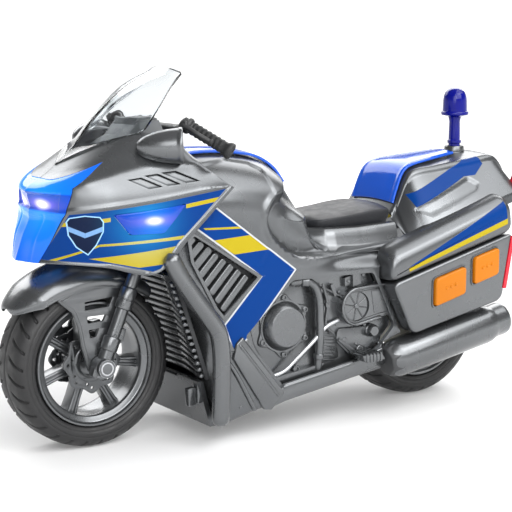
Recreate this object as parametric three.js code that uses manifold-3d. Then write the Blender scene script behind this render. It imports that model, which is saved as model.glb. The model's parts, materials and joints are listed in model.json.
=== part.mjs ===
// Toy police-style touring motorcycle, push-and-go with light and sound.
// Millimetres, +X forward, +Y to the rider's left, +Z up.
// The origin is on the ground, under the middle of the toy's box.
import * as THREE from 'three';
import { mergeVertices } from 'three/addons/utils/BufferGeometryUtils.js';
import Module from 'manifold-3d';

const wasm = await Module();
wasm.setup();

// ---------------------------------------------------------------- driving dimensions
const TYRE_RADIUS = 40;
const TYRE_HALF_WIDTH = 13.4;
const BEAD_RADIUS = 29.4;
const WHEEL_SEGMENTS = 32;
const FRONT_AXLE_X = 101.5;
const REAR_AXLE_X = -90;
const AXLE_Z = TYRE_RADIUS;
const AXLE_RADIUS = 2;
const REACH = FRONT_AXLE_X + TYRE_RADIUS;
const GAP = 0.35;
const RUNNING_FIT = 0.08;
const WALL = 2.2;
const SHEET = 1.8;
const BODY_SIDE = 38;
const FORK_Y = 19;
const FORK_RADIUS = 3.5;
const FORK_LEAN = -17 / 41;
const PANNIER_IN = 29.5;
const PANNIER_OUT = 47;
const BUTTON_TRAVEL = 1.5;
const GEAR_MODULE = 0.84;
const GEAR_TEETH = 30;
const PINION_TEETH = 10;
const GEAR_DISTANCE = (GEAR_TEETH + PINION_TEETH) * GEAR_MODULE / 2;
const TRAIN_TILT = Math.atan2(18, 60);

// ---------------------------------------------------------------- solids
const V = (x, y, z) => new THREE.Vector3(x, y, z);

function signedVolume(position, index) {
  const corner = [V(), V(), V()];
  let sum = 0;
  for (let i = 0; i < index.length; i += 3) {
    corner.forEach((c, k) => c.fromArray(position, index[i + k] * 3));
    sum += corner[0].dot(corner[1].clone().cross(corner[2]));
  }
  return sum / 6;
}

// A closed geometry as a boolean solid, whichever way its faces were wound.
function solid(geometry) {
  const bare = geometry.clone();
  bare.deleteAttribute('normal');
  bare.deleteAttribute('uv');
  const merged = mergeVertices(bare, 1e-4);
  const source = Array.from(merged.index.array);
  const kept = [];
  for (let i = 0; i < source.length; i += 3) {
    const [a, b, c] = source.slice(i, i + 3);
    if (a !== b && b !== c && c !== a) kept.push(a, b, c);
  }
  const position = merged.attributes.position.array;
  if (signedVolume(position, kept) < 0) kept.reverse();
  const vertProperties = new Float32Array(position);
  const triVerts = new Uint32Array(kept);
  return new wasm.Manifold(new wasm.Mesh({ numProp: 3, vertProperties, triVerts }));
}

const join = (...parts) => parts.reduce((all, part) => all.add(part));
const cut = (body, ...tools) => tools.reduce((left, tool) => left.subtract(tool), body);

function geometryOf(body) {
  const mesh = body.getMesh();
  const geometry = new THREE.BufferGeometry();
  const position = new Float32Array(mesh.vertProperties);
  geometry.setAttribute('position', new THREE.BufferAttribute(position, 3));
  geometry.setIndex(new THREE.BufferAttribute(new Uint32Array(mesh.triVerts), 1));
  return geometry;
}

function mirrored(body) {
  const geometry = geometryOf(body);
  geometry.scale(1, -1, 1);
  return solid(geometry);
}

// Side to side loft through rings of equal length, closed with a fan at each end.
function loft(rings) {
  const count = rings[0].length;
  const points = rings.flat();
  const index = [];
  for (let i = 0; i < rings.length - 1; i++) {
    for (let j = 0; j < count; j++) {
      const a = i * count + j;
      const b = i * count + (j + 1) % count;
      index.push(a, b, b + count, a, b + count, a + count);
    }
  }
  const fan = (ring, start, flip) => {
    const middle = ring.reduce((sum, p) => sum.add(p), V(0, 0, 0)).divideScalar(count);
    points.push(middle);
    const hub = points.length - 1;
    for (let j = 0; j < count; j++) {
      const pair = [start + j, start + (j + 1) % count];
      if (flip) pair.reverse();
      index.push(pair[1], pair[0], hub);
    }
  };
  fan(rings[0], 0, false);
  fan(rings.at(-1), (rings.length - 1) * count, true);
  return solid(new THREE.BufferGeometry().setFromPoints(points).setIndex(index));
}

function gridNormal(grid, i, j) {
  const last = [grid.length - 1, grid[0].length - 1];
  const along = grid[Math.min(i + 1, last[0])][j].clone().sub(grid[Math.max(i - 1, 0)][j]);
  const across = grid[i][Math.min(j + 1, last[1])].clone().sub(grid[i][Math.max(j - 1, 0)]);
  return along.cross(across).normalize();
}

// Moulded sheet: the grid is its outer face, `lift` raises it and `thickness` goes inward.
function sheet(grid, thickness, lift = 0, side = 1) {
  const rows = grid.length;
  const columns = grid[0].length;
  const shifted = (by) => grid.flatMap((line, i) => line.map((p, j) =>
    p.clone().addScaledVector(gridNormal(grid, i, j), by * side)));
  const points = [...shifted(lift), ...shifted(lift - thickness)];
  const half = rows * columns;
  const at = (i, j) => i * columns + j;
  const index = [];
  const quad = (a, b, c, d) => index.push(a, b, c, a, c, d);
  for (let i = 0; i < rows - 1; i++) {
    for (let j = 0; j < columns - 1; j++) {
      const corners = [at(i, j), at(i + 1, j), at(i + 1, j + 1), at(i, j + 1)];
      quad(...corners);
      quad(...corners.map((k) => k + half).reverse());
    }
  }
  const rim = [];
  for (let i = 0; i < rows - 1; i++) rim.push(at(i, 0));
  for (let j = 0; j < columns - 1; j++) rim.push(at(rows - 1, j));
  for (let i = rows - 1; i > 0; i--) rim.push(at(i, columns - 1));
  for (let j = columns - 1; j > 0; j--) rim.push(at(0, j));
  rim.forEach((a, k) => {
    const b = rim[(k + 1) % rim.length];
    quad(b, a, a + half, b + half);
  });
  return solid(new THREE.BufferGeometry().setFromPoints(points).setIndex(index));
}

// Smooth surface through a net of points, rows first.
function netSurface(net) {
  const smooth = (points) => new THREE.CatmullRomCurve3(points, false, 'centripetal');
  const rows = net.map((row) => smooth(row.map((p) => V(...p))));
  return (u, v) => smooth(rows.map((row) => row.getPoint(u))).getPoint(v);
}

function sampled(surface, columns, rows, from = 0, to = 1) {
  return Array.from({ length: columns + 1 }, (_, i) =>
    Array.from({ length: rows + 1 }, (_, j) =>
      surface(from + (to - from) * i / columns, j / rows)));
}

// Outline in side view (x, z), with rounded corners, carried across from y0 to y1.
function roundedShape(outline, radius) {
  const shape = new THREE.Shape();
  const count = outline.length;
  outline.forEach(([x, y], i) => {
    const corner = new THREE.Vector2(x, y);
    const before = new THREE.Vector2(...outline[(i + count - 1) % count]);
    const after = new THREE.Vector2(...outline[(i + 1) % count]);
    const enter = corner.clone().lerp(before, radius / corner.distanceTo(before));
    const leave = corner.clone().lerp(after, radius / corner.distanceTo(after));
    if (i === 0) shape.moveTo(enter.x, enter.y);
    else shape.lineTo(enter.x, enter.y);
    if (radius > 0) shape.quadraticCurveTo(x, y, leave.x, leave.y);
  });
  shape.closePath();
  return shape;
}

function prism(outline, y0, y1, radius = 0, bevel = 0) {
  const geometry = new THREE.ExtrudeGeometry(roundedShape(outline, radius), {
    depth: y1 - y0 - 2 * bevel,
    bevelEnabled: bevel > 0,
    bevelThickness: bevel,
    bevelSize: bevel,
    bevelOffset: -bevel,
    bevelSegments: 2,
    curveSegments: 3,
  });
  geometry.rotateX(Math.PI / 2).translate(0, y1 - bevel, 0);
  return solid(geometry);
}

// Outline seen from above (x, y), carried up from z0 to z1.
function slab(outline, z0, z1) {
  const geometry = new THREE.ExtrudeGeometry(roundedShape(outline, 0),
    { depth: z1 - z0, bevelEnabled: false });
  return solid(geometry.translate(0, 0, z0));
}

function box(x0, x1, y0, y1, z0, z1) {
  const geometry = new THREE.BoxGeometry(x1 - x0, y1 - y0, z1 - z0);
  return solid(geometry.translate((x0 + x1) / 2, (y0 + y1) / 2, (z0 + z1) / 2));
}

// Round bar between two points.
function rod(start, end, radius, endRadius = radius, segments = 16) {
  const from = V(...start);
  const to = V(...end);
  const along = to.clone().sub(from);
  const geometry = new THREE.CylinderGeometry(endRadius, radius, along.length(), segments);
  geometry.applyQuaternion(
    new THREE.Quaternion().setFromUnitVectors(V(0, 1, 0), along.clone().normalize()));
  const middle = from.add(to).divideScalar(2);
  return solid(geometry.translate(middle.x, middle.y, middle.z));
}

// Round bar across the toy, from y0 to y1, through the side-view point [x, z].
const acrossRod = ([x, z], y0, y1, radius, segments = 16) =>
  rod([x, y0, z], [x, y1, z], radius, radius, segments);

// Turned part about the line from `start` towards `end`; profile is [radius, distance].
function turned(profile, start, end, segments = 24) {
  const geometry = new THREE.LatheGeometry(
    profile.map(([radius, along]) => new THREE.Vector2(radius, along)), segments);
  const axis = V(...end).sub(V(...start)).normalize();
  geometry.applyQuaternion(new THREE.Quaternion().setFromUnitVectors(V(0, 1, 0), axis));
  return solid(geometry.translate(...start));
}

function tube(points, radius, sides = 10, steps = 24) {
  const path = new THREE.CatmullRomCurve3(points.map((p) => V(...p)), false, 'centripetal');
  const section = new THREE.Shape();
  section.absarc(0, 0, radius, 0, 2 * Math.PI, false);
  const geometry = new THREE.ExtrudeGeometry(section, {
    extrudePath: path,
    steps,
    curveSegments: sides / 2,
    bevelEnabled: false,
  });
  return solid(geometry);
}

// Moves every corner of a convex outline outward by `by`.
function grown(outline, by) {
  const count = outline.length;
  const area = outline.reduce((sum, [x, y], i) => {
    const [nextX, nextY] = outline[(i + 1) % count];
    return sum + x * nextY - nextX * y;
  }, 0);
  const turn = Math.sign(area);
  const normal = (p, q) => new THREE.Vector2((q[1] - p[1]) * turn, (p[0] - q[0]) * turn).normalize();
  return outline.map((point, i) => {
    const before = normal(outline[(i + count - 1) % count], point);
    const after = normal(point, outline[(i + 1) % count]);
    const bisector = before.clone().add(after).normalize();
    const reach = by / bisector.dot(after);
    return [point[0] + bisector.x * reach, point[1] + bisector.y * reach];
  });
}

const leftHalf = (body) => body.intersect(box(-300, 300, GAP / 2, 200, -50, 300));

// ---------------------------------------------------------------- materials
const finish = (color, roughness, metalness, opacity = 1) =>
  ({ color, roughness, metalness, opacity, transparent: opacity < 1 });
const FINISH = {
  silver: finish(0x8d8f92, 0.32, 0.55),
  darkSilver: finish(0x5d5f62, 0.4, 0.5),
  blue: finish(0x0a55b5, 0.25, 0),
  navy: finish(0x101e96, 0.2, 0),
  lens: finish(0x2a6cff, 0.1, 0, 0.8),
  clear: finish(0xe8eef2, 0.05, 0, 0.3),
  black: finish(0x1b1b1c, 0.5, 0),
  seat: finish(0x2c2d2f, 0.6, 0),
  tyre: finish(0x1d1d1e, 0.8, 0),
  orange: finish(0xffa51a, 0.35, 0),
  red: finish(0xc3141c, 0.2, 0),
  steel: finish(0xb0b2b5, 0.25, 1),
  white: finish(0xe9e6dd, 0.5, 0),
  green: finish(0x1d6b38, 0.5, 0),
};

const motorcycle = new THREE.Group();

function add(name, body, look) {
  const mesh = new THREE.Mesh(geometryOf(body), new THREE.MeshStandardMaterial(FINISH[look]));
  mesh.name = name;
  motorcycle.add(mesh);
}

function addPair(name, leftBody, look) {
  add(`${name}_left`, leftBody, look);
  add(`${name}_right`, mirrored(leftBody), look);
}

// ---------------------------------------------------------------- front fairing and screen
// Left half of the nose and flank: columns run from the centre line back to the rear tip,
// rows from the lower edge up to the foot of the windscreen.
const FAIRING_NET = [
  [[135, 0, 90], [131, 12.5, 90], [122, 22, 90], [106, 32, 88.5], [84, 38.5, 84.5],
    [66, 41, 101], [44, 41.5, 121.5]],
  [[131.5, 0, 100], [129, 14.5, 100], [121.5, 25, 101], [106, 34.5, 101], [84, 40.3, 101],
    [64, 41.5, 108], [46, 41.5, 122.5]],
  [[127.5, 0, 110], [125, 15, 111], [120.5, 26, 113], [105, 35.5, 114.5], [84, 41.3, 117],
    [62, 41.5, 120], [49, 41, 124.5]],
  [[129.5, 0, 121], [126, 14.5, 122.5], [118, 26, 124.5], [104, 33, 126], [83, 38, 129],
    [64, 38.5, 130], [54, 39.5, 128.5]],
  [[119, 0, 128.5], [115, 13, 130.5], [107, 22, 133.5], [97, 27, 136], [80, 32, 139],
    [67, 33.5, 137.5], [59, 36, 133]],
  [[107, 0, 138], [101, 10, 141], [93, 16.5, 144], [84, 22.5, 146.5], [74, 26.5, 146.5],
    [67, 28, 143.5], [62, 31, 137.5]],
];
const fairingSurface = netSurface(FAIRING_NET);
const fairingGrid = sampled(fairingSurface, 16, 8);
const LENS_OUTLINE = [[131.5, 86], [121.5, 113], [118.3, 124], [102.5, 134.8], [123.3, 125.8],
  [140, 128], [142, 86]];
const SIDE_LENS = [[103, 112], [70, 115.3], [80.5, 103], [96, 103]];

function buildFairing() {
  const skin = sheet(fairingGrid, SHEET);
  const lensHole = prism(
    LENS_OUTLINE.map(([x, z], i) => [x - (i < 3 ? GAP : 0), z + (i === 4 ? GAP : 0)]), -60, 60);
  const lampHole = prism(grown(SIDE_LENS, GAP), 20, 60);
  return leftHalf(cut(skin, lensHole, lampHole));
}

function buildFrontLens() {
  const left = sheet(fairingGrid, SHEET).intersect(prism(LENS_OUTLINE, -60, 60));
  const half = left.intersect(box(-300, 300, 0, 200, -50, 300));
  return join(half, mirrored(half));
}

const buildSideLens = () => sheet(fairingGrid, 3).intersect(prism(SIDE_LENS, 20, 60));

// The same flank as a filled block, for clearing whatever leans against it.
function fairingBlock(lift) {
  const grid = sampled(fairingSurface, 16, 8, 0.03);
  const rings = grid.map((line, i) => {
    const outer = line.map((p, j) => p.clone().addScaledVector(gridNormal(grid, i, j), lift));
    return [...outer, ...outer.map((p) => V(p.x, 0, p.z)).reverse()];
  });
  return loft(rings);
}

const SCREEN_NET = [
  [[106.5, 0, 139.3], [100, 10.5, 142.3], [91, 18, 145.6], [81, 24.5, 149]],
  [[95, 0, 153], [90, 9.5, 154], [83, 17, 156], [73, 22.5, 157.5]],
  [[78, 0, 167], [75.5, 8.5, 167], [70.5, 14.5, 166.8], [65, 19, 166]],
  [[59, 0, 175.5], [58.8, 6, 175.2], [58, 11, 174.5], [56.5, 15, 173.3]],
];

function buildScreen() {
  const surface = netSurface(SCREEN_NET);
  const grid = sampled((u, v) => {
    const p = surface(Math.abs(u), v);
    return V(p.x, Math.sign(u) * p.y, p.z);
  }, 10, 6, -1, 1);
  return sheet(grid, 1.6);
}

function buildDash() {
  const pod = prism([[95, 133.5], [88, 141.5], [80, 145.5], [77.5, 152.5], [67, 152.5], [66, 140],
    [66, 133.5]], -11, 11, 0.5);
  const shelf = slab([[92, -17], [92, 17], [66, 24], [66, -24]], 133.5, 137);
  return join(pod, shelf);
}

const GRIP_START = [65, 34.5, 150.5];
const GRIP_END = [50.5, 50, 138.5];

function buildHandlebar() {
  const elbow = [60, 20, 147.5];
  const centre = rod([60, -20, 147.5], elbow, 2.2, 2.2, 10);
  const along = V(...GRIP_END).sub(V(...GRIP_START)).normalize();
  const length = V(...GRIP_END).distanceTo(V(...GRIP_START));
  const grip = turned([[0, 0], [3.7, 0], [3.9, 1.2], [3, 2.4], [3, length - 3], [4, length - 2],
    [4, length], [0, length]], GRIP_START, GRIP_END, 10);
  const leverStart = V(...GRIP_START).addScaledVector(along, 2).add(V(4.2, 1.5, 0.6));
  const leverEnd = leverStart.clone().addScaledVector(along, 15);
  const lever = rod(leverStart.toArray(), leverEnd.toArray(), 1.1, 0.9, 6);
  const perch = rod([64, 35.5, 149.7], leverStart.toArray(), 1.6, 1.4, 6);
  const bend = solid(new THREE.SphereGeometry(2.2, 8, 6).translate(...elbow));
  const left = join(rod(elbow, GRIP_START, 2.2, 2.2, 10), bend, grip, lever, perch);
  return join(centre, left, mirrored(left));
}

function buildHandGuard() {
  const cone = turned([[0, 0], [2.6, 0.8], [5, 4], [7, 10], [7.9, 18], [8, 21], [0, 21]],
    [89, 30.5, 141], [70.2, 41, 141.8], 18);
  const clearance = rod([66.6, 32.8, 151.8], GRIP_END, 4.4);
  return cut(cone, fairingBlock(GAP), clearance);
}

// ---------------------------------------------------------------- main body halves
// Stations: x, top, then the widest point of the tank or seat base, the waist, the underside.
const BODY_STATIONS = [
  [70, 131, 110, 34, 85, 37, 7],
  [50, 135, 110, 36, 85, 38, 8.5],
  [30, 134.5, 108, 36.5, 80, 38, 13],
  [12, 131, 103, 36.5, 78, 38, 16],
  [2, 124, 97, 36, 77, 38, 17.5],
  [-8, 110, 90, 35, 76, 38, 19],
  [-14, 99, 86, 34, 76, 38, 19.9],
  [-17, 94.6, 84.5, 33.5, 76, 38, 20.4],
  [-22, 92.6, 84, 33, 76, 38, 21],
  [-40, 91, 83, 31.5, 76, 38, 23.5],
  [-52, 92, 83, 31.5, 76, 38, 25.2],
  [-62, 94, 83, 31.5, 76, 38, 26.6],
];

function bodyRing([x, top, shoulderZ, shoulderY, waistZ, waistY, bottom], inset) {
  const ring = [];
  const start = inset > 0 ? -1 : GAP / 2;
  const crown = 6;
  for (let k = 0; k <= crown; k++) {
    const turn = k / crown * Math.PI / 2;
    const y = (shoulderY - inset) * Math.sin(turn);
    const z = shoulderZ + (top - inset - shoulderZ) * Math.cos(turn) ** 0.9;
    ring.push(V(x, Math.max(y, start), z));
  }
  const floor = inset > 0 ? bottom - 4 : bottom;
  ring.push(V(x, waistY - inset, waistZ));
  ring.push(V(x, waistY - inset, floor + 2.5));
  ring.push(V(x, waistY - inset - (inset > 0 ? 0 : 2.2), floor));
  ring.push(V(x, start, floor));
  return ring;
}

const ENGINE_OPENING = [[9, 74.5], [-39, 74], [-52.5, 46], [-42.5, 35.5], [-28, 30], [14, 23],
  [36, 50]];
const GRILLE_OPENING = [[63.5, 101.5], [27.2, 78.2], [47.8, 59.5], [52.5, 65], [65, 88],
  [66.8, 99]];

function buildBody() {
  const outer = loft(BODY_STATIONS.map((station) => bodyRing(station, 0)));
  const inner = BODY_STATIONS.map(([x, ...rest], i) => {
    const last = i === BODY_STATIONS.length - 1;
    const first = i === 0;
    return bodyRing([x + (last ? WALL : 0) + (first ? 3 : 0), ...rest], WALL);
  });
  const nose = prism([[71, 145], [71, 93], [57, 64], [50.5, 53], [50.5, 0], [90, 0], [90, 145]], -5, 60);
  const well = acrossRod([REAR_AXLE_X, AXLE_Z], -15, 15, TYRE_RADIUS + 3.5, 48);
  const train = box(-63, -40, 13, 26.6, 26, 66);
  const luggage = prism([[-42.6, 76.6], [-42.6, 71], [-56.3, 42], [-44.5, 38], [-44.5, 10], [-70, 10],
    [-70, 79]], 27.7, 60);
  return cut(outer, loft(inner), nose, well, train, luggage,
    prism(ENGINE_OPENING, 33, 45, 2), prism(GRILLE_OPENING, 33, 45, 1));
}

// Rear axle arm of the right half, beside the wheel.
function buildAxleArm() {
  const arm = prism([[-57, 78], [-57, 40], [-82, 33], [-97, 33], [-98, 46], [-84, 50], [-66, 60],
    [-62.3, 78]], -19, -16, 2);
  return cut(arm, acrossRod([REAR_AXLE_X, AXLE_Z], -30, -10, AXLE_RADIUS + RUNNING_FIT, 24));
}

function buildTankCover() {
  const along = [[57, 135.8], [46, 137], [30, 136.5], [13, 133.4], [3, 127.4], [-2.6, 120.4]];
  const top = netSurface([-12, -6, 0, 6, 12].map((y) =>
    along.map(([x, z]) => [x, y, z - (Math.abs(y) / 12) ** 2 * 1.4])));
  return sheet(sampled(top, 10, 4), 1.1, 0.4, -1);
}

function buildSideGrille() {
  const plate = prism(grown(GRILLE_OPENING, 1.4), 31, 33);
  const slats = Array.from({ length: 8 }, (_, i) => {
    const [x, z] = [62.2 - i * 4.06, 99 - i * 2.89];
    const [footX, footZ] = [69 - i * 3.06, 93.1 - i * 4.21];
    return prism([[x, z], [x - 2, z - 2], [footX - 2, footZ - 2], [footX, footZ]], 32.5, 36.2);
  });
  const opening = prism(grown(GRILLE_OPENING, -GAP), 32, 40);
  return join(plate, ...slats.map((slat) => slat.intersect(opening)));
}

// ---------------------------------------------------------------- engine sides
const CLUTCH = [12, 52];
const FAN = [-30, 57.6];

function buildEngineCover() {
  const plateFace = 32.5;
  const plate = prism(grown(ENGINE_OPENING, 1.2), 30, plateFace);
  const [cx, cz] = CLUTCH;
  const [fx, fz] = FAN;
  const clutch = turned([[0, 0], [12.6, 0], [12.6, 2.6], [9.8, 2.8], [9.2, 7.2], [0, 7.4]],
    [cx, 32, cz], [cx, 40, cz], 16);
  const bolts = Array.from({ length: 6 }, (_, i) => {
    const turn = (i + 0.5) * Math.PI / 3;
    const x = cx + 11.8 * Math.cos(turn);
    const z = cz + 11.8 * Math.sin(turn);
    return acrossRod([x, z], 32, 35.6, 1.5, 6);
  });
  const belt = prism([[fx + 9.5, fz], [fx + 6.5, fz + 7], [fx, fz + 9.6], [-40.6, fz + 9.9],
    [-48, fz - 5.4], [fx, fz - 9.6], [fx + 6.5, fz - 7]], 32, 37.4, 1.5);
  const fan = cut(belt, acrossRod(FAN, 36.2, 38.2, 7.6));
  const hub = acrossRod(FAN, 35, 37.6, 1.6, 8);
  const hose = tube([[5, 33, 72], [-1, 35.4, 72], [-6.5, 35.6, 66], [-8, 35.6, 56], [-8, 35.6, 42],
    [-8, 33.5, 31]], 2, 6, 10);
  const pipe = tube([[20, 33, 28], [12, 35, 30], [4, 35.2, 37], [-3, 34.2, 43]], 1.1, 6, 6);
  const peg = join(acrossRod([-33, 35.4], 32, 41, 2.2, 8), box(-38, -28, 39, 47, 33.6, 37.2));
  const sump = prism([[-20, 46], [-43, 46], [-41, 38], [-26, 31.5], [-18, 38]], 32, 34.2, 1.5);
  const knob = rod([-40, 33, 44], [-40, 37.5, 44], 3, 2.6, 10);
  const bracket = box(-33, -26, 32, 34.6, 68.5, 73.5);
  return join(plate, clutch, ...bolts, fan, hub, hose, pipe, sump, knob, bracket, peg);
}

// ---------------------------------------------------------------- belly
const BELLY_LINE = [[49.8, 8.6], [30, 13.1], [12, 16.1], [-22, 21.1], [-44, 24.2]];
const DOOR_FRONT = 11;
const DOOR_REAR = -21;
const DOOR_HALF_WIDTH = 25;
const SWITCH_X = 24;

const bellyZ = (x) => {
  const k = BELLY_LINE.findIndex(([stationX], i) => i > 0 && x >= stationX);
  const [x0, z0] = BELLY_LINE[k - 1];
  const [x1, z1] = BELLY_LINE[k];
  return z0 + (x - x0) / (x1 - x0) * (z1 - z0);
};

function bellyStrip(front, rear, lift, thickness) {
  return [[front, bellyZ(front) + lift], [front, bellyZ(front) + lift + thickness],
    [rear, bellyZ(rear) + lift + thickness], [rear, bellyZ(rear) + lift]];
}

function buildBellyPan() {
  const upper = BELLY_LINE.map(([x, z]) => [x, z + 2.6]).reverse();
  const tray = prism([[60.5, 31], [54, 8.6], ...BELLY_LINE, ...upper, [52.5, 11.5], [57.6, 31]],
    -BODY_SIDE + WALL + GAP, BODY_SIDE - WALL - GAP);
  const wheel = acrossRod([FRONT_AXLE_X, AXLE_Z], -16, 16, TYRE_RADIUS + 2.6, 48);
  const door = prism(grown(bellyStrip(DOOR_FRONT, DOOR_REAR, -1, 5), GAP),
    -DOOR_HALF_WIDTH - GAP, DOOR_HALF_WIDTH + GAP);
  const slot = box(SWITCH_X - 3.4, SWITCH_X + 6.4, -2.4, 2.4, 5, 25);
  const around = (by, z0, z1) =>
    box(DOOR_REAR - by, DOOR_FRONT + by, -DOOR_HALF_WIDTH - by, DOOR_HALF_WIDTH + by, z0, z1);
  const cellar = cut(around(2, 19, 36.6), around(0.6, 15, 35.2));
  return cut(join(tray, cellar), wheel, door, slot);
}

const buildBatteryDoor = () =>
  prism(bellyStrip(DOOR_FRONT, DOOR_REAR, 0, 1.8), -DOOR_HALF_WIDTH, DOOR_HALF_WIDTH);

function buildBatteryPack() {
  const cells = [-1, 0, 1].map((i) => {
    const x = (DOOR_FRONT + DOOR_REAR) / 2 + i * 10.4;
    return join(rod([x, -22, 29.2], [x, 21, 29.2], 5.25, 5.25, 12),
      rod([x, 20, 29.2], [x, 22.3, 29.2], 1.9, 1.9, 8));
  });
  return join(...cells);
}

function buildPowerSwitch() {
  const z = bellyZ(SWITCH_X);
  return join(box(SWITCH_X - 3, SWITCH_X + 3, -2, 2, z + 0.4, z + 4.4),
    box(SWITCH_X - 5, SWITCH_X + 5, -3.6, 3.6, z + 4.2, z + 5.4));
}

// Front grille: slats that run back from each side to a shallow valley behind the tyre.
const GRILLE_TOP = 79;
const GRILLE_BOTTOM = 31.4;
const SLATS = 14;

function valley(z, depth, inset = 0) {
  const rise = (z - 33) / 45;
  const outerX = 59.5 + 15.5 * rise + inset;
  const innerX = 55 + 11 * Math.max(rise, 0) ** 1.5 + inset;
  const side = BODY_SIDE - WALL - GAP;
  return [[outerX, side], [innerX, 12], [innerX, -12], [outerX, -side], [outerX - depth, -side],
    [innerX - depth, -12], [innerX - depth, 12], [outerX - depth, side]];
}

function buildRadiator() {
  const steps = 4;
  const backRings = Array.from({ length: steps + 1 }, (_, i) => {
    const z = GRILLE_BOTTOM + (GRILLE_TOP - GRILLE_BOTTOM) * i / steps;
    return valley(z, 2, -3).map(([x, y]) => V(x, y, z));
  });
  const slats = Array.from({ length: SLATS }, (_, i) => {
    const z = GRILLE_BOTTOM + 1 + (GRILLE_TOP - GRILLE_BOTTOM - 3.5) * i / (SLATS - 1);
    return slab(valley(z, 4), z, z + 1.8);
  });
  const wheel = acrossRod([FRONT_AXLE_X, AXLE_Z], -16, 16, TYRE_RADIUS + 1.6, 48);
  return cut(join(loft(backRings), ...slats), wheel);
}

const buildCrashBar = () => tube([[74, 42.5, 83], [66, 42.7, 73], [57.5, 42.9, 61], [52.5, 43, 53.5],
  [51.5, 43, 44], [52, 43, 28], [52.5, 43, 12]], 4.1, 8, 14);

// ---------------------------------------------------------------- wheels, fork and fender
const wheelAxis = (x) => [[x, 0, AXLE_Z], [x, 10, AXLE_Z]];

// Lathe whose flats, not corners, face down and forward, with `profile` in [radius, y].
function wheelTurned(profile, x, segments = WHEEL_SEGMENTS) {
  const stretch = 1 / Math.cos(Math.PI / segments);
  const geometry = new THREE.LatheGeometry(
    profile.map(([radius, y]) => new THREE.Vector2(radius * stretch, y)), segments);
  geometry.rotateY(Math.PI / segments).translate(x, 0, AXLE_Z);
  return solid(geometry);
}

function buildTyre(x) {
  const w = TYRE_HALF_WIDTH;
  const half = [[BEAD_RADIUS + GAP, 11.6], [33.6, w], [37, 11.9], [39.1, 9.6], [TYRE_RADIUS, 6.5]];
  const other = half.map(([radius, y]) => [radius, -y]).reverse();
  return wheelTurned([...half, ...other, half[0]], x);
}

function buildRim(x, boreRadius) {
  const barrel = wheelTurned([[BEAD_RADIUS, 12], [BEAD_RADIUS, -12], [27.6, -12], [26.4, -9],
    [26.4, 9], [27.6, 12], [BEAD_RADIUS, 12]], x);
  const hub = wheelTurned([[0, 6.4], [9, 6.4], [9, -6.4], [0, -6.4], [0, 6.4]], x, 16);
  const spokes = Array.from({ length: 7 }, (_, i) => {
    const spoke = new THREE.BoxGeometry(19.4, 9, 4.4).translate(17.9, 0, 0);
    return solid(spoke.rotateY(i * 2 * Math.PI / 7 + 0.32).translate(x, 0, AXLE_Z));
  });
  const bore = acrossRod([x, AXLE_Z], -20, 20, boreRadius, 24);
  return cut(join(barrel, hub, ...spokes), bore);
}

function buildBrakeDisc(x) {
  const petals = new THREE.Shape();
  const points = 32;
  for (let k = 0; k < points; k++) {
    const turn = k / points * 2 * Math.PI;
    const radius = 14 + 0.7 * Math.cos(8 * turn);
    const where = [radius * Math.cos(turn), radius * Math.sin(turn)];
    if (k === 0) petals.moveTo(...where);
    else petals.lineTo(...where);
  }
  petals.closePath();
  const hole = new THREE.Path();
  hole.absarc(0, 0, 6.2, 0, 2 * Math.PI, true);
  petals.holes.push(hole);
  const geometry = new THREE.ExtrudeGeometry(petals,
    { depth: 1.2, bevelEnabled: false, curveSegments: 12 });
  geometry.rotateX(Math.PI / 2).translate(x, 8.2, AXLE_Z);
  return solid(geometry);
}

function buildFrontAxle() {
  const reach = FORK_Y + FORK_RADIUS + 0.6;
  const half = [[0, reach + 1.4], [4.2, reach + 1.2], [4.2, reach], [AXLE_RADIUS, reach]];
  const other = half.map(([radius, y]) => [radius, -y]).reverse();
  return turned([...half, ...other], ...wheelAxis(FRONT_AXLE_X), 24);
}

// Fork leg: slim upper tube, sleeve, and lower casting that carries the axle.
function buildFork() {
  const at = (z) => [FRONT_AXLE_X + FORK_LEAN * (z - AXLE_Z), FORK_Y, z];
  const r = FORK_RADIUS;
  const length = V(...at(112)).distanceTo(V(...at(34.5)));
  const leg = turned([[0, 0], [r, 0.8], [r, 14.5], [r + 0.4, 15], [r + 0.4, 20], [r - 0.5, 20.6],
    [r - 0.5, 34], [r + 0.35, 34.6], [r + 0.35, 44], [r - 0.3, 44.6], [r - 0.3, length], [0, length]],
  at(34.5), at(112), 10);
  const lug = acrossRod([FRONT_AXLE_X, AXLE_Z], FORK_Y - r + 0.3, FORK_Y + r + 0.2, 4.6, 12);
  const bore = acrossRod([FRONT_AXLE_X, AXLE_Z], 10, 30, AXLE_RADIUS + GAP, 16);
  return cut(join(leg, lug), bore);
}

function buildFender() {
  const inner = TYRE_RADIUS + 2.4;
  const start = 0.6;
  const end = 2.35;
  const arch = sampled((u, v) => {
    const turn = start + (end - start) * u;
    const side = 2 * v - 1;
    const nose = Math.min(1, 0.25 + u * 5);
    const y = 14.4 * side * nose;
    const radius = inner + 1.8 - 4.4 * Math.abs(side * nose) ** 2.6;
    return V(FRONT_AXLE_X + radius * Math.cos(turn), y, AXLE_Z + radius * Math.sin(turn));
  }, 12, 6);
  const windows = [
    [[96, 73], [88.5, 75.3], [89.5, 71], [95.5, 69]],
    [[97, 65.5], [91.6, 67], [92.6, 63], [97.4, 62]],
    [[98.6, 58.5], [95.6, 59.2], [96.2, 55.6], [98.8, 55]],
  ].map((outline) => prism(outline, 10, 20));
  const plate = prism([[106, 80], [110, 77], [103.5, 66], [104, 40], [101.5, 35.5], [98.5, 37],
    [84, 77], [88, 80.5]], 13.9, 15.1, 1);
  const bore = acrossRod([FRONT_AXLE_X, AXLE_Z], -20, 20, AXLE_RADIUS + GAP, 16);
  const left = cut(plate, ...windows);
  return cut(join(sheet(arch, 1.4), left, mirrored(left)), bore);
}

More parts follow.
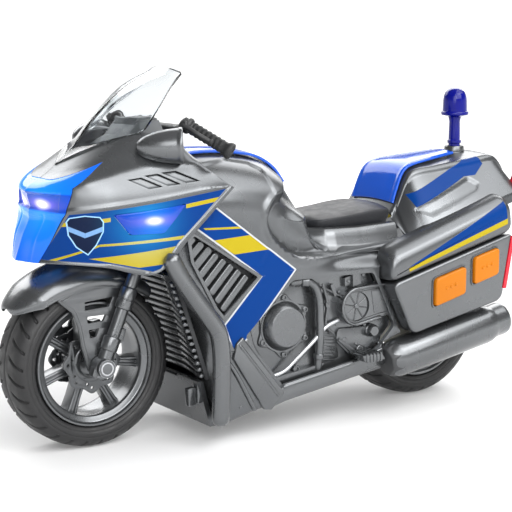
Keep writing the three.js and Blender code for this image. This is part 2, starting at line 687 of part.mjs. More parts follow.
// ---------------------------------------------------------------- flywheel drive
const TRAIN = [0, 1, 2].map((k) => [REAR_AXLE_X + k * GEAR_DISTANCE * Math.cos(TRAIN_TILT),
  AXLE_Z + k * GEAR_DISTANCE * Math.sin(TRAIN_TILT)]);
const PLANE_ONE = [15.3, 17.3];
const PLANE_TWO = [17.8, 19.8];
const FLYWHEEL = [20.3, 24.1];
const FLYWHEEL_RADIUS = 12;

function gear(teeth, [x, z], [y0, y1], phase) {
  const pitch = teeth * GEAR_MODULE / 2;
  const tip = pitch + 0.72 * GEAR_MODULE;
  const root = pitch - 1.05 * GEAR_MODULE;
  const step = 2 * Math.PI / teeth;
  const outline = [];
  for (let k = 0; k < teeth; k++) {
    const middle = phase + k * step;
    [[root, -0.31], [tip, -0.105], [tip, 0.105], [root, 0.31]].forEach(([radius, part]) => {
      const turn = middle + part * step;
      outline.push([x + radius * Math.cos(turn), z + radius * Math.sin(turn)]);
    });
  }
  return prism(outline, y0, y1);
}

const ARBOR_RADIUS = 1.2;
const arbor = (centre) => acrossRod(centre, 14.2, 25.6, ARBOR_RADIUS);
const bigPhase = TRAIN_TILT;
const smallPhase = TRAIN_TILT + Math.PI + Math.PI / PINION_TEETH;

const buildDriveGear = () => cut(gear(GEAR_TEETH, TRAIN[0], PLANE_ONE, bigPhase),
  acrossRod(TRAIN[0], 0, 30, AXLE_RADIUS + GAP, 24));

const buildClusterGear = () => join(
  gear(PINION_TEETH, TRAIN[1], [PLANE_ONE[0], PLANE_TWO[0] + 0.2], smallPhase),
  gear(GEAR_TEETH, TRAIN[1], PLANE_TWO, bigPhase),
  arbor(TRAIN[1]));

const buildFlywheel = () => join(
  gear(PINION_TEETH, TRAIN[2], [PLANE_TWO[0], FLYWHEEL[0] + 0.2], smallPhase),
  acrossRod(TRAIN[2], ...FLYWHEEL, FLYWHEEL_RADIUS, 24),
  arbor(TRAIN[2]));

function stadium([x0, z0], [x1, z1], radius) {
  const tilt = Math.atan2(z1 - z0, x1 - x0);
  const arc = (x, z, start) => Array.from({ length: 9 }, (_, i) => {
    const turn = start + i * Math.PI / 8;
    return [x + radius * Math.cos(turn), z + radius * Math.sin(turn)];
  });
  return [...arc(x0, z0, tilt + Math.PI / 2), ...arc(x1, z1, tilt - Math.PI / 2)];
}

function buildGearbox() {
  const gearReach = GEAR_TEETH * GEAR_MODULE / 2 + 1.4;
  const shell = prism(stadium(TRAIN[0], TRAIN[2], gearReach + 1), 13.9, 25.9);
  const room = prism(stadium(TRAIN[0], TRAIN[2], gearReach), 14.9, 24.8);
  const radii = [AXLE_RADIUS, ARBOR_RADIUS, ARBOR_RADIUS];
  const bores = TRAIN.map((centre, k) => acrossRod(centre, 10, 30, radii[k] + RUNNING_FIT, 24));
  return cut(shell, room, ...bores);
}

const buildRearAxle = () => turned([[0, -21], [2, -21], [2, 27.6], [0, 27.6]],
  ...wheelAxis(REAR_AXLE_X), 24);

// ---------------------------------------------------------------- seat and tail
function buildSeat() {
  const stations = [[-15.8, 96.6, 97.6, 4], [-19, 95, 98.6, 11], [-26, 94, 99.8, 16],
    [-38, 94, 101.8, 18.5], [-52, 94.6, 104.2, 20.5], [-60, 95.6, 105.4, 20],
    [-62.4, 98.4, 103.6, 17.5]];
  const rings = stations.map(([x, low, high, halfWidth]) => {
    const middle = (low + high) / 2;
    const count = 14;
    return Array.from({ length: count }, (_, k) => {
      const turn = k / count * 2 * Math.PI;
      const squared = (value, power) => Math.sign(value) * Math.abs(value) ** power;
      return V(x, halfWidth * squared(Math.cos(turn), 0.55),
        middle + (high - low) / 2 * squared(Math.sin(turn), 0.55));
    });
  });
  return loft(rings);
}

const BEACON_X = -121;
const TAIL_LIGHT = [[-134, 111.5], [-138.6, 107.4], [-138.8, 113], [-136, 116.5]];

// Tail stations: x, top, half width on top, lower edge, half width at the lower edge.
const TAIL_STATIONS = [
  [-64, 101, 19.5, 86, 31],
  [-68, 108, 20, 87, 33.5],
  [-72, 117, 20.5, 88, 35.5],
  [-76, 122, 21, 89.5, 37],
  [-92, 124.5, 22, 94, 38.5],
  [-113, 126.8, 22.5, 99.5, 39],
  [-129, 128.2, 22.5, 103, 38],
  [-135, 124, 22, 104, 36.5],
  [-REACH, 113.5, 20, 105.5, 31],
];

function tailRing([x, top, topY, low, lowY], inset) {
  const half = [
    [topY * 0.55, top - 0.4 - inset],
    [topY - 2.5 - inset * 0.6, top - 1.4 - inset],
    [topY - inset * 0.9, top - 4 - inset * 0.6],
    [lowY - 3 - inset * 1.2, low + 6],
    [lowY - inset * 1.2, low - (inset > 0 ? 3 : 0)],
  ].map(([y, z]) => V(x, y, z));
  const other = half.map((p) => V(x, -p.y, p.z)).reverse();
  return [...half, ...other];
}

function buildTail() {
  const outer = loft(TAIL_STATIONS.map((station) => tailRing(station, 0)));
  const inner = TAIL_STATIONS.map(([x, ...rest], i) => {
    const first = i === 0;
    const last = i === TAIL_STATIONS.length - 1;
    return tailRing([x + (last ? WALL : 0) - (first ? WALL : 0), ...rest], WALL);
  });
  const collar = rod([BEACON_X, 0, 126], [BEACON_X, 0, 130.4], 5.8, 5.2, 24);
  const socket = rod([BEACON_X, 0, 120], [BEACON_X, 0, 140], 3.2 + GAP, 3.2 + GAP, 20);
  const lights = [1, -1].map((side) => {
    const pocket = prism(grown(TAIL_LIGHT, GAP), 29, 36);
    return side > 0 ? pocket : mirrored(pocket);
  });
  return cut(join(cut(outer, loft(inner)), collar), socket, ...lights);
}

function buildBeacon() {
  const base = 127.4;
  return turned([[0, 0], [3.2, 0], [3.2, 19.8], [7.2, 19.8], [7.2, 21.4], [6.5, 21.8], [6.3, 28],
    [5.6, 31], [4, 33], [0, 34.1]], [BEACON_X, 0, base], [BEACON_X, 0, base + 10], 18);
}

function buildTailCover() {
  const along = [[-66.4, 106.5, 17.8], [-69.3, 113, 17.6], [-72.8, 120.4, 17.2], [-77, 123.9, 16.8],
    [-85, 125.3, 15.6], [-98, 126.9, 13], [-112.5, 128.4, 9.4]];
  const top = netSurface([-1, -0.6, 0, 0.6, 1].map((side) =>
    along.map(([x, z, halfWidth]) => [x - 0.2, side * halfWidth, z - side ** 2 * 1.1])));
  return cut(sheet(sampled(top, 10, 4), 1, 0.8, -1),
    rod([BEACON_X, 0, 120], [BEACON_X, 0, 140], 6.4, 6.4, 20));
}

// ---------------------------------------------------------------- panniers
const BOX_OUTLINE = [[-44.6, 68.5], [-57.5, 42], [-116, 54], [-123, 88.9]];
const LID_OUTLINE = [[-43.5, 69.2], [-123, 89.6], [-120.5, 104.6], [-44.5, 80.5]];
const REFLECTOR_OUTLINE = [[-115.8, 60], [-120.8, 87], [-123, 87], [-118, 60]];
const PANNIER_TILT = Math.atan2(-20.3, 79.5);
// Push buttons: middle x and z, then half the length and height.
const BUTTONS = { front: [-79.8, 64.6, 9.8, 6.9], rear: [-103.4, 73, 8.1, 6.8] };

function buttonOutline([x, z, length, height], grow) {
  const halfX = length + grow;
  const halfZ = height + grow;
  return [[1, 1], [-1, 1], [-1, -1], [1, -1]].map(([i, k]) =>
    [x + i * halfX, z + i * halfX * Math.tan(PANNIER_TILT) + k * halfZ]);
}

function buildPannierBox() {
  const shell = prism(BOX_OUTLINE, PANNIER_IN, PANNIER_OUT, 4, 1.6);
  const room = prism(grown(BOX_OUTLINE, -2), PANNIER_IN - 3, PANNIER_OUT - 2, 3);
  const holes = Object.values(BUTTONS).map((centre) => prism(buttonOutline(centre, GAP), 40, 55, 1.5));
  const seat = prism(grown(REFLECTOR_OUTLINE, GAP), 42 - GAP, 60);
  return cut(shell, room, ...holes, seat);
}

function buildPannierLid() {
  const shell = prism(LID_OUTLINE, 40.5, PANNIER_OUT, 3, 1.3);
  const room = prism(grown(LID_OUTLINE, -2), 38, PANNIER_OUT - 2, 0);
  return cut(shell, room);
}

// Push button: a cap through the pannier wall, with a flange behind it that keeps it in.
function buildButton(centre) {
  const wallInside = PANNIER_OUT - 2;
  const capFace = PANNIER_OUT + BUTTON_TRAVEL + 0.8;
  const cap = prism(buttonOutline(centre, 0), wallInside - 1, capFace, 1.5, 0.6);
  const flange = prism(buttonOutline(centre, 1.4), wallInside - 1.6, wallInside - 0.4, 1);
  return join(cap, flange);
}

const buildReflector = () => prism(REFLECTOR_OUTLINE, 42, PANNIER_OUT + 0.5, 0.4);

const buildTailLight = () => prism(TAIL_LIGHT, 29.5, 32.5);

// ---------------------------------------------------------------- exhaust
const EXHAUST_START = [-47, 38, 28];
const EXHAUST_END = [-124, 38, 42.5];

const buildExhaust = () => turned([[0, 0], [7.6, 0], [9.7, 5], [9.9, 66], [8.6, 70.5],
  [8.6, 76.5], [7.2, 78.3], [6.2, 78.3], [6.2, 66], [0, 66]], EXHAUST_START, EXHAUST_END, 18);

// ---------------------------------------------------------------- assembly
const body = buildBody();
add('body_left', body, 'silver');
add('body_right', join(mirrored(body), buildAxleArm()), 'silver');
addPair('fairing', buildFairing(), 'silver');
add('front_lens', buildFrontLens(), 'lens');
addPair('side_lens', buildSideLens(), 'lens');
add('windscreen', buildScreen(), 'clear');
add('dash_panel', buildDash(), 'black');
add('handlebar', buildHandlebar(), 'black');
addPair('hand_guard', buildHandGuard(), 'silver');
add('tank_cover', buildTankCover(), 'blue');
addPair('side_grille', buildSideGrille(), 'darkSilver');
addPair('engine_cover', buildEngineCover(), 'darkSilver');
add('belly_pan', buildBellyPan(), 'darkSilver');
add('battery_door', buildBatteryDoor(), 'darkSilver');
add('battery_pack', buildBatteryPack(), 'green');
add('power_switch', buildPowerSwitch(), 'black');
add('radiator_grille', buildRadiator(), 'darkSilver');
addPair('crash_bar', buildCrashBar(), 'silver');
add('speaker', rod([-35, 0, 40], [-35, 0, 46], 13, 13, 20), 'black');
add('circuit_board', box(-20, 30, -22, 22, 40, 41.6), 'green');
addPair('fork', buildFork(), 'silver');
add('front_fender', buildFender(), 'silver');
add('front_axle', buildFrontAxle(), 'steel');
add('front_rim', buildRim(FRONT_AXLE_X, AXLE_RADIUS + RUNNING_FIT), 'silver');
add('front_tyre', buildTyre(FRONT_AXLE_X), 'tyre');
addPair('brake_disc', buildBrakeDisc(FRONT_AXLE_X), 'darkSilver');
add('rear_rim', buildRim(REAR_AXLE_X, AXLE_RADIUS + GAP), 'silver');
add('rear_tyre', buildTyre(REAR_AXLE_X), 'tyre');
add('rear_axle', buildRearAxle(), 'steel');
add('drive_gear', buildDriveGear(), 'white');
add('cluster_gear', buildClusterGear(), 'white');
add('flywheel', buildFlywheel(), 'steel');
add('gearbox', buildGearbox(), 'white');
add('seat_pad', buildSeat(), 'seat');
add('tail_shell', buildTail(), 'silver');
add('tail_cover', buildTailCover(), 'blue');
add('beacon', buildBeacon(), 'navy');
addPair('pannier_box', buildPannierBox(), 'darkSilver');
addPair('pannier_lid', buildPannierLid(), 'silver');
addPair('front_button', buildButton(BUTTONS.front), 'orange');
addPair('rear_button', buildButton(BUTTONS.rear), 'orange');
addPair('reflector', buildReflector(), 'red');
addPair('tail_light', buildTailLight(), 'red');
addPair('exhaust', buildExhaust(), 'silver');

export default motorcycle;
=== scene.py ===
import json
import math

import bmesh
import bpy
import numpy as np
from mathutils import Matrix, Vector
from mathutils.geometry import tessellate_polygon

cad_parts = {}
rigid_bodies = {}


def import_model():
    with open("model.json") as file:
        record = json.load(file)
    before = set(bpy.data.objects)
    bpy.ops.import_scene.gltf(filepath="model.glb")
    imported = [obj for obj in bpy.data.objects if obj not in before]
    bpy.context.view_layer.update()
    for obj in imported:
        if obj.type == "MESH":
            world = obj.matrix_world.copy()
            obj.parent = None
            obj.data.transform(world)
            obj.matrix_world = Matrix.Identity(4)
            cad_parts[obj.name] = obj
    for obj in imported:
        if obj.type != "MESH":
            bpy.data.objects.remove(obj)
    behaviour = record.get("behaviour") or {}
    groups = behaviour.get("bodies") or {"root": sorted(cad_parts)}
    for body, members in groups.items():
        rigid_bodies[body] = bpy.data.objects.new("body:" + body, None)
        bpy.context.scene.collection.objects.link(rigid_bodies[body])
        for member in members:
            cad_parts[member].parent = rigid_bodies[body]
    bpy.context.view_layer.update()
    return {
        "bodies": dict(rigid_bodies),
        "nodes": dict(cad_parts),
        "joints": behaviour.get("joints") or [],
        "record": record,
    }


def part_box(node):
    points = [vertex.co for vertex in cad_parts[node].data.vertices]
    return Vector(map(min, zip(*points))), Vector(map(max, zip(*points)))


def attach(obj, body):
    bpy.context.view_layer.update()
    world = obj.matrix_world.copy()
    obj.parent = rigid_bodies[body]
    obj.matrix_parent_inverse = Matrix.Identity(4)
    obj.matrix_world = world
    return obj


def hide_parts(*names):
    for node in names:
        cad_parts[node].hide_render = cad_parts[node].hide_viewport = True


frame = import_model()
for leftover in ("Cube", "Light", "Camera"):
    if leftover in bpy.data.objects:
        bpy.data.objects.remove(bpy.data.objects[leftover])
NODES = frame["nodes"]
MM = 0.001
CHASSIS = "chassis"
SIDES = ("left", "right")
SAME_POINT = 1e-6
NO_AREA = 1e-13
FLIP_Y = np.array([0, 1, 0])


def centre_of(node):
    """Middle of a CAD node, in mm."""
    low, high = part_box(node)
    return np.array((low + high) / 2) / MM


FRONT = centre_of("front_tyre")
REAR = centre_of("rear_tyre")
TYRE_RADIUS = float(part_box("front_tyre")[1][2]) / MM / 2
TYRE_HALF_WIDTH = float(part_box("front_tyre")[1][1]) / MM


# ------------------------------------------------------------------ curves
def spline(points, t):
    """Centripetal Catmull-Rom through points, at parameters t from 0 to 1."""
    points = np.asarray(points, float)
    t = np.atleast_1d(np.asarray(t, float))
    count = len(points)
    k = np.clip((t * (count - 1)).astype(int), 0, count - 2)
    w = (t * (count - 1) - k)[:, None]
    ends = np.vstack([2 * points[0] - points[1], points, 2 * points[-1] - points[-2]])
    p0, p1, p2, p3 = ends[k], ends[k + 1], ends[k + 2], ends[k + 3]

    def gap(a, b):
        return np.maximum(((a - b) ** 2).sum(-1) ** 0.25, 1e-4)[:, None]

    d0, d1, d2 = gap(p0, p1), gap(p1, p2), gap(p2, p3)
    a = ((p1 - p0) / d0 - (p2 - p0) / (d0 + d1) + (p2 - p1) / d1) * d1
    b = ((p2 - p1) / d1 - (p3 - p1) / (d1 + d2) + (p3 - p2) / d2) * d1
    return p1 + a * w + (3 * (p2 - p1) - 2 * a - b) * w**2 + (2 * (p1 - p2) + a + b) * w**3


def net_surface(net, across, along):
    """Points of the smooth surface through a net, indexed [across][along]."""
    rows = [spline(row, across) for row in net]
    return np.array([spline([row[i] for row in rows], along) for i in range(len(across))])


def curve(points, count):
    """Evenly spaced points of the spline."""
    return spline(points, np.linspace(0, 1, count))


def both_halves(net, reach, along):
    """Smooth surface through a left-side net and its mirror image, for reach from -1 to 1."""
    half = net_surface(net, np.abs(reach), along)
    return half * np.where(reach < 0, -1.0, 1.0)[:, None, None] ** FLIP_Y


def around(centre, radius, angle):
    """Side-view point (x, z) at an angle about a centre."""
    return centre[0] + radius * math.cos(angle), centre[1] + radius * math.sin(angle)


def ramp(value, low, high):
    """Smooth step from 0 at low to 1 at high."""
    t = np.clip((value - low) / (high - low), 0, 1)
    return t * t * (3 - 2 * t)


def bead(distance, width):
    """1 on a line, fading out over the width."""
    return np.exp(-(distance / width) ** 2)


def segment_distance(points, a, b):
    """Distance of each point from the line between a and b."""
    a, b = np.asarray(a, float), np.asarray(b, float)
    along = np.clip(((points - a) @ (b - a)) / ((b - a) @ (b - a)), 0, 1)[..., None]
    return np.linalg.norm(points - a - along * (b - a), axis=-1)


def path_distance(points, path):
    return np.min([segment_distance(points, a, b) for a, b in zip(path, path[1:])], axis=0)


def depth_inside(points, outline):
    """Distance from the edge of an outline, positive inside it."""
    edge = path_distance(points, list(outline) + [outline[0]])
    within = np.zeros(points.shape[:-1], bool)
    x, z = points[..., 0], points[..., 1]
    for (x0, z0), (x1, z1) in zip(outline, list(outline[1:]) + [outline[0]]):
        crosses = (z0 > z) != (z1 > z)
        slope = (x1 - x0) / (z1 - z0) if z1 != z0 else 0.0
        within ^= crosses & (x < x0 + slope * (z - z0))
    return np.where(within, edge, -edge)


# ------------------------------------------------------------------ meshes
def new_object(name, points, faces):
    """Closed mesh from points in mm."""
    mesh = bpy.data.meshes.new(name)
    mesh.from_pydata([tuple(p) for p in np.asarray(points, float) * MM], [], faces)
    work = bmesh.new()
    work.from_mesh(mesh)
    bmesh.ops.remove_doubles(work, verts=work.verts, dist=SAME_POINT)
    bmesh.ops.recalc_face_normals(work, faces=work.faces)
    work.to_mesh(mesh)
    work.free()
    return link(name, mesh)


def link(name, mesh):
    obj = bpy.data.objects.new(name, mesh)
    bpy.context.scene.collection.objects.link(obj)
    return obj


def freeze(obj):
    """Applies the modifiers."""
    bpy.context.view_layer.update()
    evaluated = obj.evaluated_get(bpy.context.evaluated_depsgraph_get())
    mesh = bpy.data.meshes.new_from_object(evaluated)
    obj.modifiers.clear()
    obj.data = mesh
    return obj


def bevelled(obj, width, segments=2, angle=30):
    """Rounds every edge sharper than the angle."""
    edge = obj.modifiers.new("edge", "BEVEL")
    edge.width = width * MM
    edge.segments = segments
    edge.limit_method = "ANGLE"
    edge.angle_limit = math.radians(angle)
    return freeze(obj)


def smoothed(obj, levels=1):
    rounder = obj.modifiers.new("rounder", "SUBSURF")
    rounder.levels = rounder.render_levels = levels
    return freeze(obj)


def carved(obj, *cutters, operation="DIFFERENCE"):
    """The solid less its cutters, or what it shares with them."""
    for cutter in cutters:
        cut = obj.modifiers.new("cut", "BOOLEAN")
        cut.operation = operation
        cut.solver = "MANIFOLD"
        cut.object = cutter
    freeze(obj)
    for cutter in cutters:
        bpy.data.objects.remove(cutter)
    return obj


def merged(name, *objects):
    """One piece made of several."""
    points, faces = [], []
    for obj in objects:
        start = len(points)
        points += [np.array(obj.matrix_world @ v.co) / MM for v in obj.data.vertices]
        faces += [[start + i for i in p.vertices] for p in obj.data.polygons]
        bpy.data.objects.remove(obj)
    mesh = bpy.data.meshes.new(name)
    mesh.from_pydata([tuple(p) for p in np.asarray(points) * MM], [], faces)
    return link(name, mesh)


def mirrored(obj, name):
    mesh = obj.data.copy()
    mesh.transform(Matrix.Diagonal((1, -1, 1, 1)))
    mesh.flip_normals()
    return link(name, mesh)


def prism(name, outline, y0, y1, bevel=0.0, segments=2, angle=30):
    """Side-view outline (x, z) carried across from y0 to y1."""
    count = len(outline)
    points = [(x, y, z) for y in (y0, y1) for x, z in outline]
    faces = [list(range(count)), list(range(2 * count - 1, count - 1, -1))]
    faces += [[i, (i + 1) % count, (i + 1) % count + count, i + count] for i in range(count)]
    obj = new_object(name, points, faces)
    return bevelled(obj, bevel, segments, angle) if bevel else obj


def rounded(outline, radius, steps=5):
    """The outline with its corners rounded."""
    out = []
    count = len(outline)
    for i, corner in enumerate(outline):
        corner = np.array(corner, float)
        before = np.array(outline[i - 1], float) - corner
        after = np.array(outline[(i + 1) % count], float) - corner
        reach = min(radius, 0.45 * np.linalg.norm(before), 0.45 * np.linalg.norm(after))
        a = corner + before / np.linalg.norm(before) * reach
        b = corner + after / np.linalg.norm(after) * reach
        for k in range(steps + 1):
            t = k / steps
            out.append(tuple((1 - t) ** 2 * a + 2 * t * (1 - t) * corner + t * t * b))
    return out


def offset(outline, by):
    """Each corner of the outline moved outward by `by`."""
    pts = [np.array(p, float) for p in outline]
    area = sum(p[0] * q[1] - q[0] * p[1] for p, q in zip(pts, pts[1:] + pts[:1]))
    turn = math.copysign(1, area)
    out = []
    for i, p in enumerate(pts):
        before, after = p - pts[i - 1], pts[(i + 1) % len(pts)] - p
        n0 = np.array([before[1], -before[0]]) / np.linalg.norm(before) * turn
        n1 = np.array([after[1], -after[0]]) / np.linalg.norm(after) * turn
        middle = (n0 + n1) / np.linalg.norm(n0 + n1)
        out.append(tuple(p + middle * by / max(middle @ n1, 0.3)))
    return out


def frame_along(direction):
    """Two axes across a direction, and the direction itself as a unit vector."""
    direction = np.asarray(direction, float) / np.linalg.norm(direction)
    helper = np.array([0, 0, 1.0]) if abs(direction[2]) < 0.9 else np.array([1.0, 0, 0])
    side = np.cross(helper, direction)
    side /= np.linalg.norm(side)
    return side, np.cross(direction, side), direction


def lathe(name, profile, start, end, segments=64):
    """Turned about the line from start towards end; profile is [radius, distance]."""
    side, up, along = frame_along(np.subtract(end, start))
    points, faces = [], []
    rings = len(profile)
    for k in range(segments):
        turn = 2 * math.pi * k / segments
        out = side * math.cos(turn) + up * math.sin(turn)
        points += [np.asarray(start) + out * r + along * d for r, d in profile]
        a, b = k * rings, (k + 1) % segments * rings
        faces += [[a + i, a + i + 1, b + i + 1, b + i] for i in range(rings - 1)]
    obj = new_object(name, points, faces)
    work = bmesh.new()
    work.from_mesh(obj.data)
    slivers = [f for f in work.faces if f.calc_area() < NO_AREA]
    bmesh.ops.delete(work, geom=slivers, context="FACES_ONLY")
    bmesh.ops.holes_fill(work, edges=[e for e in work.edges if e.is_boundary], sides=0)
    bmesh.ops.recalc_face_normals(work, faces=work.faces)
    work.to_mesh(obj.data)
    work.free()
    return obj


def knob(name, start, end, radius, chamfer=0.3, segments=32):
    """Round bar with chamfered ends."""
    length = float(np.linalg.norm(np.subtract(end, start)))
    profile = [(0, 0), (radius - chamfer, 0), (radius, chamfer), (radius, length - chamfer),
               (radius - chamfer, length), (0, length)]
    return lathe(name, profile, start, end, segments)


def pin(name, x, z, start_y, end_y, *rest):
    """Knob across the machine at a side-view point."""
    return knob(name, (x, start_y, z), (x, end_y, z), *rest)


def slab(name, outline, corner, low, high, *rest):
    """Prism with rounded corners."""
    return prism(name, rounded(outline, corner), low, high, *rest)


def sweep(name, path, radius, sides=20, samples=60):
    """Round bar along a smooth path, with domed ends."""
    line = spline(path, np.linspace(0, 1, samples))
    tangent = np.gradient(line, axis=0)
    tangent /= np.linalg.norm(tangent, axis=1)[:, None]
    side = frame_along(tangent[0])[0]
    rings = []
    dome = [(1 - (1 - k / 3) ** 2) ** 0.5 for k in range(4)]
    shifts = [-(1 - k / 3) for k in range(4)]
    stations = [(0, dome[k] or 0.05, shifts[k]) for k in range(3)]
    stations += [(i, 1.0, 0.0) for i in range(samples)]
    stations += [(samples - 1, dome[k] or 0.05, -shifts[k]) for k in (2, 1, 0)]
    sizes = radius if callable(radius) else lambda t: radius
    for i, share, shift in stations:
        t = tangent[i]
        side = side - t * (side @ t)
        side /= np.linalg.norm(side)
        up = np.cross(t, side)
        r = sizes(i / (samples - 1))
        centre = line[i] + t * shift * r
        rings.append([centre + share * r * (math.cos(a) * side + math.sin(a) * up)
                      for a in np.linspace(0, 2 * math.pi, sides, endpoint=False)])
    return loft(name, rings)


def loft(name, rings):
    """Solid through a row of closed rings, capped at both ends."""
    count = len(rings[0])
    points = [p for ring in rings for p in ring]
    faces = []
    for i in range(len(rings) - 1):
        for j in range(count):
            a, b = i * count + j, i * count + (j + 1) % count
            faces.append([a, b, b + count, a + count])
    faces += [list(range(count))[::-1], list(range(len(points) - count, len(points)))]
    return new_object(name, points, faces)


def grid_normals(grid):
    """Unit normal at each point of a grid."""
    along = np.gradient(grid, axis=0)
    across = np.gradient(grid, axis=1)
    normal = np.cross(along, across)
    return normal / np.maximum(np.linalg.norm(normal, axis=-1), 1e-9)[..., None]


def sheet(name, grid, thickness, lift=0.0, side=1.0):
    """Closed moulded sheet whose outer face is the grid, raised by lift."""
    normal = grid_normals(grid) * side
    rows, columns = grid.shape[:2]
    lift = np.broadcast_to(np.asarray(lift, float), (rows, columns))[..., None]
    outer = grid + normal * lift
    inner = outer - normal * thickness
    points = np.vstack([outer.reshape(-1, 3), inner.reshape(-1, 3)])
    half = rows * columns
    index = np.arange(half).reshape(rows, columns)
    a, b, c, d = index[:-1, :-1], index[1:, :-1], index[1:, 1:], index[:-1, 1:]
    top = np.stack([a, b, c, d], -1).reshape(-1, 4)
    faces = top.tolist() + (top[:, ::-1] + half).tolist()
    rim = list(index[:, 0]) + list(index[-1, 1:]) + list(index[::-1, -1][1:]) + list(index[0, ::-1][1:-1])
    faces += [[q, p, p + half, q + half] for p, q in zip(rim, rim[1:] + rim[:1])]
    return new_object(name, points, faces)


# ------------------------------------------------------------------ materials
def colour(code):
    """Linear colour of an sRGB hex code."""
    parts = [int(code[i:i + 2], 16) / 255 for i in (1, 3, 5)]
    return [p / 12.92 if p <= 0.04045 else ((p + 0.055) / 1.055) ** 2.4 for p in parts] + [1.0]


SILVER = "#6A6C6E"
GREY = "#5C5E60"
BLUE = "#003478"
YELLOW = "#A8961C"
NAVY_PRINT = "#0D1A36"
PALE_BLUE = "#96C4EA"
CHEVRON_BLUE = "#6F95C4"
STICKER_TRIM = "#B9BCBF"
FLAKE = "#B4B7BB"
# dark grey painted as shade inside the fairing vents
PAINTED_VENT_SHADE = "#2A2C2E"
PORE = "#1B1C1E"
LAMP_BOX = "#060A58"
LAMP_SPILL = "#22B8FF"
LAMP_FRINGE = "#E070FF"
HALO = "#38C8FF"
WHITE_LIGHT = "#FFFFFF"
STICKER_ROUGHNESS = 0.36
SHADE_ANGLE = 38


